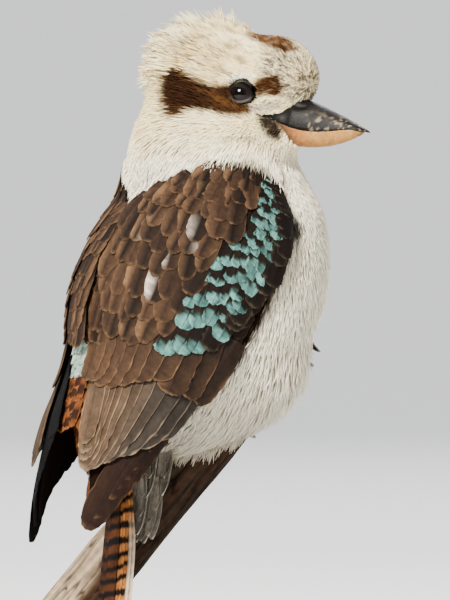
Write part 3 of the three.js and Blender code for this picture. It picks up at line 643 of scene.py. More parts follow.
def under_wing(p):
    """1 where the folded wings lie on the body."""
    s, turn = wing_place(p)
    side = turn > 0
    inner = np.where(side, np.interp(s, *zip(*WING_INNER[1])), np.interp(s, *zip(*WING_INNER[-1])))
    front = np.interp(s, *zip(*WING_FRONT))
    turn = np.abs(turn)
    return smooth(-3, 4, s) * smooth(0, 6, turn - inner) * smooth(0, 5, front - turn)


WING_FRONT = [
    (-8, 84), (0, 98), (12, 108), (40, 108), (70, 104), (95, 104), (115, 105), (130, 102), (146, 94),
    (180, 85), (205, 75)
]
WING_INNER = {
    1: [(-8, 66), (0, 45), (30, 18), (60, 6), (130, 4), (150, 22), (165, 40), (180, 52), (205, 72)],
    -1: [(-8, 66), (0, 45), (30, 24), (60, 14), (90, 30), (110, 45), (130, 56), (160, 62), (205, 71)],
}


def shoulder_edge(p):
    """1 in a band along the mantle's top edge, where the neck's feathers run over the shoulders'."""
    along, turn = wing_place(p)
    edge = along - mantle_line(turn)
    return smooth(-12, -8, edge) * smooth(-1, -4, edge) * smooth(104, 96, np.abs(turn))


def near_eye(p, reach):
    gap = np.min([np.linalg.norm(p - c, axis=-1) for c in eyes.values()], axis=0)
    return smooth(reach, 8.2, gap)


def bill_room(p):
    """1 where the bill comes out of the face."""
    return patch(face_place(p), BILL_EDGE, 0.6)


def is_head(p):
    return smooth(296, 304, p[..., 2])


more = 1.0


def coat(name, count, density, size, slot, **kw):
    count = int(count * more)
    u, v = scatter(count, density)
    p, n, _ = on_hull(u, v)
    length, width, rise = size(p)
    vary = rng.normal(1, 0.14, count).clip(0.6, 1.5)
    colour = markings(p) * rng.normal(1, 0.07, (count, 1))
    tip = markings(p + lie(p, n) * (length * 0.5)[:, None]) * rng.normal(1.02, 0.04, (count, 1))
    fleck = patch(face_place(p), FLECK_EDGE, 3) * is_head(p) * (rng.random(count) < 0.42)
    tip = lay(tip, srgb(44, 30, 22), fleck * 0.9)
    return blades(
        name, u, v, length * vary, width * rng.uniform(0.8, 1.2, count), rise + rng.normal(0, 0.25, count),
        colour, tip, slot, **kw
    )


def face_size(p):
    """Length, width and rise of the head's tufts, smallest at the bill and the eye."""
    back = smooth(18, -22, head.read(p)[0])
    close = near_eye(p, 15)
    length = mix(3.2, 8.5, back) * (1 - 0.5 * close)
    return length, mix(0.32, 0.42, back), mix(0.15, 0.6, back) * (1 - close)


def clear(p):
    return (near_eye(p, 9.2) < 0.7) * (1 - bill_room(p))


coat(
    "coat_face", 13500, lambda p: is_head(p) * clear(p) * smooth(-14, -2, head.read(p)[0]), face_size,
    "head_plumage", rings=2
)
coat(
    "coat_head", 9500, lambda p: is_head(p) * clear(p) * smooth(2, -12, head.read(p)[0]), face_size,
    "head_plumage"
)


def breast_size(p):
    a, _, z = body.read(p)
    fluffy = smooth(0, -50, z) * smooth(-30, 0, a)
    return mix(9.0, 13.0, fluffy), mix(0.62, 0.6, fluffy), mix(0.12, 0.9, fluffy)


def between(lo, hi):
    """A density of tufts between two heights, thinned out under the wings."""

    def density(p):
        inside = (p[..., 2] >= lo) & (p[..., 2] < hi)
        return inside * (1 - 0.98 * under_wing(p))

    return density


def shoulder_size(p):
    same = np.ones(p.shape[:-1])
    return 10.0 * same, 0.6 * same, 2.6 * same


coat("coat_neck", 9000, between(268, 303), breast_size, "neck_plumage")
coat("coat_breast", 9600, between(205, 268), breast_size, "body_plumage")
coat("coat_shoulder", 3600, shoulder_edge, shoulder_size, "neck_plumage")
coat("coat_belly", 9000, between(100, 205), breast_size, "body_plumage", wander=0.2)


# Vanes: feathers with a shaft and two webs, built as closed plates over the wing's bed
def on_wing(side, s, turn, lift):
    centre = wing_top + s[..., None] * wing_line
    a = np.radians(turn)
    out = np.cos(a)[..., None] * wing_back + side * np.sin(a)[..., None] * body.r
    p = centre + out * surface_from(wing_bed, centre, out, reach=90)[..., None]
    n = slope_of(wing_bed, p)
    droop = 0 if side > 0 else np.interp(s, [30, 90, 150, 205], [0, LEFT_DROOP, LEFT_DROOP, 0])
    return p + n * (lift + droop)[..., None], n


ROWS, COLUMNS = 17, 9
VANE_THICK = 0.4
ACROSS = np.array([-1, -0.9, -0.66, -0.08, 0, 0.08, 0.66, 0.9, 1])
ALONG = np.concatenate(
    [np.linspace(0, 0.6, 6), np.linspace(0.68, 0.9, 5), [0.93, 0.952, 0.97, 0.984, 0.993, 1.0]]
)


def outline(t, blunt):
    """Half width along a feather, from its narrow foot to its rounded end."""
    foot = mix(0.62, 1.0, smooth(0, 0.4, t))
    cap = np.sqrt(np.clip(1 - ((t - 1 + blunt).clip(0) / blunt) ** 2, 0.0008, 1))
    return foot * cap


class Vanes:
    """Collects feathers' grids and joins them into one mesh."""

    def __init__(self, along=ALONG):
        self.along = along
        self.verts, self.cols, self.bake, self.uv = [], [], [], []

    def add(self, points, normals, thickness, colours, length, width, foot):
        rows = len(self.along)
        under = points - normals * (thickness * (1 - 0.6 * self.along[:, None, None]))
        self.verts.append(np.stack([points, under]).reshape(-1, 3))
        # The lower face is laid darker than the upper: painted shade under each feather
        self.cols.append(np.stack([colours, colours * 0.72]).reshape(-1, 3))
        grid = np.stack(np.meshgrid(self.along, (ACROSS + 1) / 2, indexing="ij"), -1)
        self.bake.append(np.tile((np.asarray(foot) + 0.003 * (grid - 0.5)).reshape(-1, 2), (2, 1)))
        x = ACROSS[None] * width * np.ones((rows, 1))
        y = self.along[:, None] * length - np.abs(x) * 0.7
        self.uv.append(np.tile(np.stack([x, y], -1).reshape(-1, 2), (2, 1)))

    def build(self, name, slot, *nodes):
        rows, half = len(self.along), len(self.along) * COLUMNS
        faces = (np.arange(len(self.verts)) * 2 * half)[:, None, None] + plate_faces(rows, COLUMNS)[None]
        obj = make(name, np.concatenate(self.verts), faces.reshape(-1, 4), VANE, np.concatenate(self.cols),
                   uv=np.concatenate(self.uv), bake=np.concatenate(self.bake), sharp=48)
        if nodes:
            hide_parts(*nodes)


def plate_faces(rows, columns):
    """Quads of a closed plate: its upper grid, its lower grid and the rim between them."""
    top, half = grid_faces(rows, columns, False), rows * columns
    rim = list(range(columns - 1)) + [i * columns + columns - 1 for i in range(rows - 1)]
    rim += (
        [(rows - 1) * columns + j for j in range(columns - 1, 0, -1)]
        + [i * columns for i in range(rows - 1, 0, -1)]
    )
    turn = rim[1:] + rim[:1]
    return np.vstack([top[:, ::-1], top + half, [(a, b, b + half, a + half) for a, b in zip(rim, turn)]])


def web_colour(
    base, fringe=None, fringe_width=0.12, tip=None, tip_from=0.8, dark_shaft=0.3, bars=None, seed=0.0,
    glow=0.0, along=ALONG
):
    """A feather's colours over its grid: dark shaft, paler webs, pale fringe, coloured or barred end."""
    shape = (len(along), COLUMNS)
    t, x = np.broadcast_to(along[:, None], shape), np.broadcast_to(np.abs(ACROSS), shape)
    side = np.broadcast_to(np.sign(ACROSS), shape)
    c = np.broadcast_to(base, (*shape, 3)).copy()
    c = c * (1 + 0.07 * np.sin(t * 31 + seed * 9) + 0.05 * np.sin(x * 5 + seed * 3))[..., None]
    if glow:
        c = lay(
            c, TAN,
            glow * smooth(0.15, 0.7, x) * smooth(0.2, 0.65, t) * (0.7 + 0.3 * side) * smooth(1.0, 0.9, t)
        )
    if bars is not None:
        colour, period, amount = bars
        wave = np.sin(t * period + x * 1.3 + seed + 0.9 * np.sin(t * 23 + 3 * seed) + 0.5 * side)
        c = lay(c, colour, smooth(0.0, 0.35, wave) * amount * smooth(0.02, 0.1, t))
    if fringe is not None:
        near = np.maximum(
            smooth(1 - 1.4 * fringe_width, 1.0, x),
            smooth(1 - 0.7 * fringe_width, 1 - 0.05 * fringe_width, t)
        )
        ragged = 0.75 + 0.25 * np.sin(t * 43 + seed * 5 + side)
        c = lay(c, fringe, near * 0.5 * ragged * smooth(0.2, 0.5, t))
    if tip is not None:
        ends = smooth(
            tip_from - 0.06, tip_from + 0.05,
            t - 0.04 * x + 0.03 * rng.normal(size=shape) + 0.04 * rng.normal(size=(1, COLUMNS))
        )
        c = lay(
            c, tip * (1 + 0.28 * rng.normal(size=(1, COLUMNS, 1)) + 0.12 * rng.normal(size=(*shape, 1))),
            ends * 0.9
        )
    shaft = dark_shaft * smooth(0.1, 0.02, x) * (1 - 0.6 * (tip is not None) * smooth(0.6, 0.8, t))
    c = c * (1 - shaft)[..., None]
    return np.maximum(
        c * (1 + 0.09 * rng.normal(size=(*shape, 1)) + 0.1 * rng.normal(size=(1, COLUMNS, 1))), 0
    )


def wing_feather(
    vanes, side, root, tip, width, colours, lift=4.5, sink=0.6, roll=0.0, blunt=0.16, camber=0.7, bend=0.0
):
    t = ALONG
    first = max(root[0], float(mantle_line(root[1])) + 1.5)
    if tip[0] < first + 4:
        return
    s = mix(first, tip[0], t)
    turn = mix(root[1], tip[1], t) + bend * np.sin(math.pi * t)
    place, n = on_wing(side, s, turn, np.zeros(ROWS))
    tangent = unit(np.gradient(place, ALONG, axis=0))
    across = unit(np.cross(tangent, n)) * side
    half = width / 2 * outline(t, blunt)
    edge = (np.abs(ACROSS) > 0.8) * smooth(0.3, 0.6, t)[:, None]
    fray = 1 + 0.06 * rng.normal(size=(ROWS, COLUMNS)) * edge
    slide = 0.3 * rng.normal(size=(ROWS, COLUMNS)) * smooth(0.75, 1, t)[:, None] * (np.abs(ACROSS) > 0.3)
    q = (
        place[:, None] + across[:, None] * (half[:, None] * ACROSS * fray)[..., None]
        + tangent[:, None] * slide[..., None]
    )
    s2, turn2 = wing_place(q)
    low = np.interp(s, [-8, 8, 34], [0.3, 0.55, 1.0])
    rise = (
        (mix(sink, lift, t**0.9) * low)[:, None] + roll * half[:, None] * ACROSS
        - camber * ACROSS**2 * (0.4 + 0.6 * t[:, None])
    )
    rise = rise + 0.22 * (np.abs(ACROSS) < 0.05) * (1 - 0.7 * t[:, None])
    rise = rise + 0.12 * rng.normal() * np.sin(t * 7 + rng.uniform(0, 6))[:, None]
    p, n2 = on_wing(side, s2, turn2 * side, rise)
    foot = (0.5 + side * turn[0] / 360 % 1, 0.5 + s[0] / 420)
    vanes.add(p, n2, VANE_THICK, colours, np.linalg.norm(place[-1] - place[0]), width, foot)


def stagger(i, row, count):
    """The share along a row of feathers, with every other row half a step further on."""
    return (i + 0.5 * (row % 2)) / (count - 0.5)


def shoulder_brown():
    return mix(srgb(32, 23, 18), srgb(66, 49, 37), rng.random() ** 1.4) * rng.normal(1, 0.08)


def build_wing(side):
    vanes = Vanes()
    reach = 0 if side > 0 else LEFT_REACH
    inner = WING_INNER[side]
    word = "right" if side > 0 else "left"
    # The far wing is laid darker than the near one: painted shade
    far_wing_shade = 1.0 if side > 0 else 0.5

    def back(s):
        return float(np.interp(s, *zip(*inner)))

    def row(count, fn):
        for i in range(count):
            fn(i / (count - 1), i)

    def jitter(k=1.0):
        return rng.normal(0, k)

    def primary(t, i):
        s = mix(206, 158, t) + reach
        # On the far wing the primaries and their fringes are laid darker: painted shade
        base = mix(DARK, BROWN, 0.5) * (1.0 if side > 0 else 0.35) * rng.normal(1, 0.05)
        colours = web_colour(base, fringe=TAN * (0.9 if side > 0 else 0.1), fringe_width=0.07, seed=i)
        wing_feather(
            vanes, side, (mix(128, 108, t), mix(80, 96, t)), (s, mix(73.5, 88, t)), 14.5, colours,
            lift=3.6 - 1.8 * t, roll=0.02, blunt=0.2
        )

    row(9, primary)
    # Extra spread primaries on the far wing only, laid near black as painted shade
    if side < 0:
        for i in range(9):
            t = i / 8
            colours = web_colour(BLACK * rng.normal(1.2, 0.1), fringe=DARK, fringe_width=0.06, seed=i)
            wing_feather(
                vanes, side, (114, mix(84, 52, t)), (mix(206, 163, t), mix(70, 34, t)), 17, colours,
                lift=2.0, roll=-0.04, blunt=0.12
            )

    def secondary(t, i):
        s = float(np.interp(t, [0, 0.35, 0.7, 1], [166, 179, 173, 150])) + jitter(0.7)
        turn = float(np.interp(t, [0, 0.35, 0.7, 1], [back(166) + 5, 52, 64, 86]))
        base = mix(srgb(84, 68, 54), srgb(58, 52, 47), smooth(0.3, 0.8, t)) * far_wing_shade * rng.normal(1, 0.07)
        colours = web_colour(
            base, fringe=srgb(176, 156, 130) * far_wing_shade, fringe_width=0.07, seed=i, glow=0.35 * (1 - t)
        )
        root = (mix(112, 100, t), mix(back(112) + 14, 102, t))
        wing_feather(
            vanes, side, root, (s, turn), 14, colours, lift=6.6 - 3.0 * t, sink=2.9 - 0.8 * t, roll=-0.12,
            blunt=0.22, camber=0.3, bend=3 * t
        )

    row(11, secondary)

    def greater(t, i):
        s = mix(134, 123, t) + jitter(1.6)
        base = mix(srgb(72, 54, 41), srgb(42, 31, 24), t) * far_wing_shade * rng.normal(1, 0.08)
        colours = web_colour(base, fringe=FRINGE, fringe_width=0.07, seed=i, glow=0.35)
        wing_feather(
            vanes, side, (mix(98, 86, t), mix(back(98) + 12, 103, t)), (s, mix(back(134) + 8, 102.5, t)),
            15, colours, lift=6.2 - 0.8 * t, sink=3.6, roll=-0.1, blunt=0.24, camber=0.4
        )

    row(10, greater)

    # Median and lesser coverts in slanting rows, turquoise at their ends away from the wing's edge
    def slant(turn):
        return float(np.interp(turn, [66, 76, 90, 95, 98, 102, 106], [-5, 0, 7, 19, 28, 42, 54]))

    starts = [
        (107, 72, 27, 10.5), (94, 71, 25, 9.5), (81, 72, 23, 8.8), (69, 73, 21, 8.4), (58, 76, 19, 8),
        (47, 80, 17, 7.6), (37, 85, 16, 7.2), (27, 88, 14, 6.8), (17, 89, 13, 6.4), (7, 90, 11, 6)
    ]
    for k, (first, inside, length, width) in enumerate(starts):
        outer = 106 if k < 7 else 102
        ways = np.linspace(inside, outer, 60)
        walk = np.concatenate([[0], np.cumsum(np.hypot(np.diff([slant(w) for w in ways]), np.diff(ways)))])
        count = max(int(walk[-1] / (width * 0.66)), 2)
        for i in range(count):
            turn = float(np.interp(stagger(i, k, count) * walk[-1], walk, ways)) + jitter(0.5)
            s = first - slant(turn) + slant(inside) + jitter(0.9)
            if s < -3:
                continue
            limit = float(np.interp(s, [0, 10, 30, 54, 74, 95, 104], [96, 100, 102, 101, 98, 92, 84]))
            base = srgb(30, 19, 13) * rng.normal(1, 0.1)
            if turn < limit:
                colours = web_colour(
                    base, tip=TURQUOISE * rng.normal(1, 0.08), tip_from=rng.uniform(0.72, 0.9), seed=i + k
                )
            else:
                colours = web_colour(base * 0.9, fringe=srgb(96, 92, 76), fringe_width=0.12, seed=i + k)
            wing_feather(
                vanes, side, (s - length, turn + 1), (s, turn), width, colours, lift=6.2 - 0.1 * k,
                sink=4.3, roll=0.06 * side, blunt=0.15, camber=0.25
            )
    # A few plain coverts along the wing's edge
    for i, s in enumerate(np.linspace(18, 118, 15)):
        turn = float(np.interp(s, *zip(*WING_FRONT))) - 1.5
        colours = web_colour(
            srgb(38, 25, 18) * rng.normal(1, 0.08), fringe=TAN * 0.7, fringe_width=0.08, seed=i
        )
        wing_feather(
            vanes, side, (s - 17, turn - 3), (s + 3, turn + 0.5), 9, colours, lift=3.2, sink=0.0, blunt=0.3,
            camber=0.8
        )
    # Shoulder feathers in rows down the inner wing, some with white webs
    plans = [
        (101, 8, 38, 6.0, 13), (90, 8, 36, 6.4, 13), (78, 8, 34, 6.8, 12.5), (66, 8, 32, 7.1, 12),
        (54, 8, 30, 7.4, 12), (43, 8, 27, 7.6, 11.5), (32, 8, 24, 7.7, 10.5), (22, 8, 20, 7.7, 9.5),
        (13, 8, 15, 7.4, 8.5), (6, 7, 11, 6.6, 7.5)
    ]
    for k, (end, count, length, lift, width) in enumerate(plans):
        limit = float(np.interp(end, [-3, 10, 24, 38, 56, 101], [82, 87, 86, 80, 73, 68]))
        for i in range(count):
            t = stagger(i, k, count)
            s = end + 7 * math.sin(math.pi * t) * smooth(10, 40, end) + jitter(2.2)
            inside = back(s) + 5
            turn = mix(inside, limit, t) + jitter(1.2)
            base = shoulder_brown()
            colours = web_colour(
                base, fringe=mix(TAN, FRINGE, 0.6 * rng.random()), fringe_width=0.1, seed=i + k,
                glow=rng.uniform(0.0, 0.8)
            )
            bright = (
                np.exp(-(((s - 84) / 8) ** 2) - ((turn - 51) / 5.5) ** 2)
                + 0.7 * np.exp(-(((s - 66) / 6) ** 2) - ((turn - 57) / 5) ** 2)
            )
            bright = (
                bright + 0.5 * np.exp(-(((s - 52) / 7) ** 2) - ((turn - 60) / 6) ** 2)
                + 0.6 * np.exp(-(((s - 62) / 6) ** 2) - ((turn - 30) / 5) ** 2)
            )
            if bright > 0.3:
                web = (
                    (smooth(0.35, 0.7, ALONG) * smooth(1.0, 0.86, ALONG))[:, None]
                    * smooth(-0.1, 0.5, ACROSS * (1 if i % 2 else -1))[None]
                )
                web = web * rng.uniform(0.55, 1.0, web.shape)
                colours = lay(colours, srgb(214, 202, 190), min(bright, 1.0) * web)
            root = (s - length, turn + mix(6, -2, t) + jitter(2.5))
            wide = width * rng.uniform(0.85, 1.15)
            wing_feather(
                vanes, side, root, (s, turn), wide, colours, lift=lift + jitter(0.2), sink=lift - 2.0,
                roll=0.05 * side, blunt=0.36, camber=0.5
            )
    vanes.build(f"feathers_wing_{word}", "wing_plumage", f"wing_{word}")

    # The dark bed under the vanes closes the gaps between them
    rows, columns = 60, 24
    s = np.linspace(-4, 196 + reach, rows)
    x = np.linspace(0, 1, columns)
    S = np.repeat(s[:, None], columns, 1)
    T = (
        np.interp(S, *zip(*inner)) + 3
        + (np.interp(S, *zip(*WING_FRONT)) - 1.5 - np.interp(S, *zip(*inner)) - 3) * x
    )
    taper = np.interp(S, [-4, 15, 140, 160, 205], [0.5, 1, 1, 0.6, 0.3])
    p, n = on_wing(side, S, T, 0.9 * taper)
    low = p - n * (2.6 * taper)[..., None]
    faces = plate_faces(rows, columns)
    verts = np.concatenate([p.reshape(-1, 3), low.reshape(-1, 3)])
    cols = np.broadcast_to(DARK, verts.shape)
    where = np.stack([0.5 + side * T.ravel() / 360, 0.5 + S.ravel() / 420], -1)
    make(f"bed_wing_{word}", verts, faces, SKIN, cols, bake=np.vstack([where, where]))


for side in (1, -1):
    build_wing(side)


# Mantle and rump: body feathers with clear shapes, on the bed between the wings
def back_feathers():
    vanes = Vanes()
    for k, end in enumerate(np.arange(18, 112, 8.5)):
        wide = float(np.interp(end, [10, 40, 92], [56, 34, 22]))
        count = int(np.interp(end, [10, 92], [15, 8]))
        width = float(np.interp(end, [16, 50], [8.5, 12]))
        for i in range(count):
            turn = mix(-wide, wide, stagger(i, k, count))
            if end < np.interp(abs(turn), [0, 19, 44, 60], [40, 27, 12, 4]):
                continue
            s = end + rng.normal(0, 1.4)
            base = shoulder_brown()
            colours = web_colour(
                base, fringe=mix(TAN, FRINGE, 0.4), fringe_width=0.11, seed=i + k,
                glow=rng.uniform(0.0, 0.7)
            )
            wing_feather(
                vanes, 1 if turn >= 0 else -1, (s - 1.9 * width, abs(turn)), (s, abs(turn)), width, colours,
                lift=5.5, sink=3.6, roll=0.05, blunt=0.34, camber=0.6
            )
    for k, end in enumerate(np.arange(114, 162, 7)):
        for i in range(7):
            turn = mix(-58, 30, stagger(i, k, 7))
            side = 1 if turn >= 0 else -1
            s = end + rng.normal(0, 1.0)
            if s < 131:
                colours = web_colour(mix(srgb(150, 140, 118), TURQUOISE, 0.4), tip=RUMP, tip_from=0.5, seed=i)
            else:
                colours = web_colour(
                    RUFOUS * rng.normal(0.9, 0.08), bars=(DARK, 13.0, 0.85), fringe=RUFOUS_PALE,
                    fringe_width=0.08, seed=i
                )
            lift = float(np.interp(s, [110, 130, 160], [3.5, 1.5, 0.0]))
            wing_feather(
                vanes, side, (s - 22, abs(turn)), (s, abs(turn)), 12, colours, lift=lift - 2.5 * (side < 0),
                sink=-2.5, blunt=0.3, camber=1.0
            )
    vanes.build("feathers_back", "body_plumage")


back_feathers()


# Tail
def tail_line(t):
    f = np.interp(t, [0, 0.7, 1], [c[0] for c in TAIL])
    u = np.interp(t, [0, 0.7, 1], [c[1] for c in TAIL])
    return f, u


tail_back = body.way(-0.994, 0, 0.1)


def tail_feather(vanes, start, end, inner, outer, level, side, colours, blunt=0.07):
    t = mix(start, end, vanes.along)
    f, u = tail_line(t)
    half = (outer - inner) / 2 * outline(vanes.along, blunt) * mix(1, 1.06, vanes.along)
    middle = (outer + inner) / 2 * mix(0.62, 1.04, smooth(0, 0.5, vanes.along))
    aside = side * (middle[:, None] + half[:, None] * ACROSS)
    down = -level * 0.5 - 0.022 * aside**2 + 0.2 * (np.abs(ACROSS) < 0.05)
    p = (
        body.at(f[:, None] * np.ones(COLUMNS), aside, u[:, None] * np.ones(COLUMNS))
        + down[..., None] * tail_back
    )
    if side < 0:
        p, colours = p[:, ::-1], colours[:, ::-1]
    vanes.add(
        p, np.broadcast_to(tail_back, p.shape), 0.3, colours, 150 * (end - start), outer - inner,
        (0.5 + side * outer / 200, 0.9)
    )


def build_tail():
    along = np.concatenate([np.linspace(0, 0.96, 84), [0.97, 0.98, 0.99, 0.996, 1.0]])
    vanes = Vanes(along)

    def colours(k, seed):
        # Painted shadow from the wing: the central pair is laid much darker, and the inner webs black over
        # their first half; the black bars and pale tips are the feathers' own
        base = RUFOUS_PALE if k else RUFOUS * 0.35
        c = web_colour(base * rng.normal(1.0, 0.05), bars=(BLACK, 104.0, 0.97), seed=seed, along=along)
        inner = smooth(0.2, -0.4, ACROSS) if k else np.zeros(COLUMNS)
        c = lay(c, BLACK, smooth(0.75, 0.55, along)[:, None] * inner[None] * 0.8)
        pale = smooth(0.9, 0.94, along)[:, None] * np.ones(COLUMNS)
        if k >= 4:
            pale = np.maximum(pale, smooth(0.7, 1.0, ACROSS)[None] * smooth(0.2, 0.4, along)[:, None])
        return lay(c, srgb(200, 186, 166), pale * (0.9 if k else 0.4))

    tail_feather(vanes, 0.2, 1.0, -7, 8.5, -0.2, 1, colours(0, 0.3))
    tail_feather(vanes, 0.2, 0.995, -6.5, 8.5, 0.8, -1, colours(0, 0.9))
    for k in range(1, 6):
        for side in (1, -1):
            tail_feather(
                vanes, 0.2, 1 - 0.008 * k, 0.3, 8.0 + 1.35 * k, k + 0.9, side,
                colours(k, 0.2 * k + side * 0.2)
            )
    vanes.build("feathers_tail", "tail_plumage", "tail")


build_tail()


# Coverts above and below the tail's root
def tail_coverts():
    vanes = Vanes()

    def feather(a, b, width, lift, colours, side_n):
        t = ALONG
        p0, p1 = body.at(*a), body.at(*b)
        n = tail_back * side_n
        way = unit(p1 - p0)
        across = unit(np.cross(way, n))
        middle = p0 + t[:, None] * (p1 - p0) + n * (lift * np.sin(math.pi * t * 0.8))[:, None]
        half = width / 2 * outline(t, 0.3)
        p = (
            middle[:, None] + across * (half[:, None] * ACROSS)[..., None]
            - n * (1.4 * ACROSS**2)[None, :, None]
        )
        vanes.add(p, np.broadcast_to(n, p.shape), 0.2, colours, 40, width, (0.5 + a[1] / 200, 0.95))

    for k in range(3):
        for i in range(5):
            aside = mix(-12, 12, stagger(i, k, 5))
            z = -84 - 8 * k
            c = web_colour(RUFOUS * rng.normal(0.65, 0.08), bars=(DARK, 12.0, 0.85), seed=i + k)
            feather(
                (-55 + 0.06 * abs(aside) - k, aside * 0.7, z + 22),
                (-60.5 - k * 0.8, aside * 0.9, z - 12 + 0.3 * abs(aside)), 12, 1.0, c, 1
            )
    for k, shift in [(k, shift) for shift in (0, 9) for k in range(6)]:
        for i in range(7):
            aside = mix(-14, 14, stagger(i, k, 7)) + rng.normal(0, 0.6)
            z = -62 - 10 * k + rng.normal(0, 1.5)
            # The white under-tail coverts are laid grey: painted shade
            c = web_colour(mix(WHITE, SHADE, 0.8) * rng.normal(0.8, 0.06), seed=i + k, dark_shaft=0.08)
            feather(
                (shift - 24 - 3.0 * k, aside * 0.75, z + 18),
                (shift - 34 - 2.6 * k, aside, z - 16 + 0.3 * abs(aside)), 9, 2.5, c, -1
            )
    vanes.build("feathers_tail_coverts", "body_plumage")


tail_coverts()


# Crest: long tapered locks that lift off the crown and nape
def crest():
    rows = [
        (120, 9, 36, 9, 1.8), (107, 12, 48, 11, 3.2), (94, 14, 56, 13, 5.2), (82, 16, 62, 14.5, 6.6),
        (70, 17, 66, 15, 7.4), (58, 18, 72, 15, 7.4), (46, 18, 80, 15, 7.0), (34, 18, 92, 14.5, 6.2),
        (20, 16, 112, 13.5, 5.2), (6, 12, 150, 11.5, 3.6)
    ]
    strands, sides = 14, 4
    rings = 6
    t = np.linspace(0, 1, rings)
    a = np.linspace(0, 2 * math.pi, sides, endpoint=False)
    verts, cols, bake = [], [], []
    for r, (lean, count, spread, length, lift) in enumerate(rows):
        for i in range(count):
            share = stagger(i, r, count) - 0.5
            turn = math.radians(2 * spread * share + rng.normal(0, 3))
            tilt = math.radians(lean + rng.normal(0, 4))
            size, up, sway = length * rng.normal(0.8, 0.2), lift * rng.normal(0.8, 0.28), rng.normal(0, 0.2)
            brown = rng.random() < 0.22
            for _ in range(strands):
                q, w = turn + rng.normal(0, 0.085), tilt + rng.normal(0, 0.075)
                out = unit(
                    -head.f * math.cos(w) + head.u * math.sin(w) * math.cos(q)
                    + head.r * math.sin(w) * math.sin(q)
                )
                centre = head.at(-24, 0, 0)
                p = centre + out * surface_from(whole, centre[None], out[None])[0]
                n = slope_of(whole, p[None])[0]
                back = head.way(-1, sway - 3.4 * (q - turn), -0.1 - 3.0 * (w - tilt))
                flow = unit(back - n * (back @ n))
                own = size * rng.uniform(0.7, 1.05)
                path = (
                    p + flow * (own * t)[:, None]
                    + n * (-2.6 + (up * rng.uniform(0.75, 1.05) + 2.6) * t**1.2)[:, None]
                )
                flat = np.cross(flow, n)
                radius = rng.uniform(0.42, 0.62) * np.array([0.9, 1.0, 0.95, 0.75, 0.45, 0.05])
                ring = (
                    path[:, None] + (radius[:, None] * np.cos(a))[..., None] * flat
                    + (0.5 * radius[:, None] * np.sin(a))[..., None] * n
                )
                verts.append(ring.reshape(-1, 3))
                cols.append((ring, rng.normal(1, 0.05), 0.5 * brown * rng.random()))
                where = np.array([0.5 + 0.4 * math.sin(q) * math.sin(w), 0.9 + 0.08 * math.cos(w)])
                local = np.stack(np.meshgrid(t, np.linspace(0, 1, sides), indexing="ij"), -1)
                bake.append((where + 0.003 * (local - 0.5)).reshape(-1, 2))
    base = markings(np.array([c[0][:, 0] for c in cols]))
    base = mix(base, TAN, np.array([c[2] for c in cols])[:, None, None])
    # Painted shade darkens each lock toward its root, and painted light brightens its tip
    base = base * mix(0.84, 1.04, t**0.7)[None, :, None] * np.array([c[1] for c in cols])[:, None, None]
    tint = np.repeat(base[:, :, None], sides, 2).reshape(-1, 3)
    one = grid_faces(rings, sides, True)
    faces = (np.arange(len(verts)) * rings * sides)[:, None, None] + one[None]
    make(
        "crest", np.concatenate(verts), faces.reshape(-1, 4), COAT, tint, bake=np.concatenate(bake),
    )


crest()


# Eyes: a wet ball, with the dark brown iris painted on its bulging front, and a thick lid round it
BALL_RINGS, BALL_SIDES = 40, 64
LID_RINGS, LID_SIDES = 72, 14


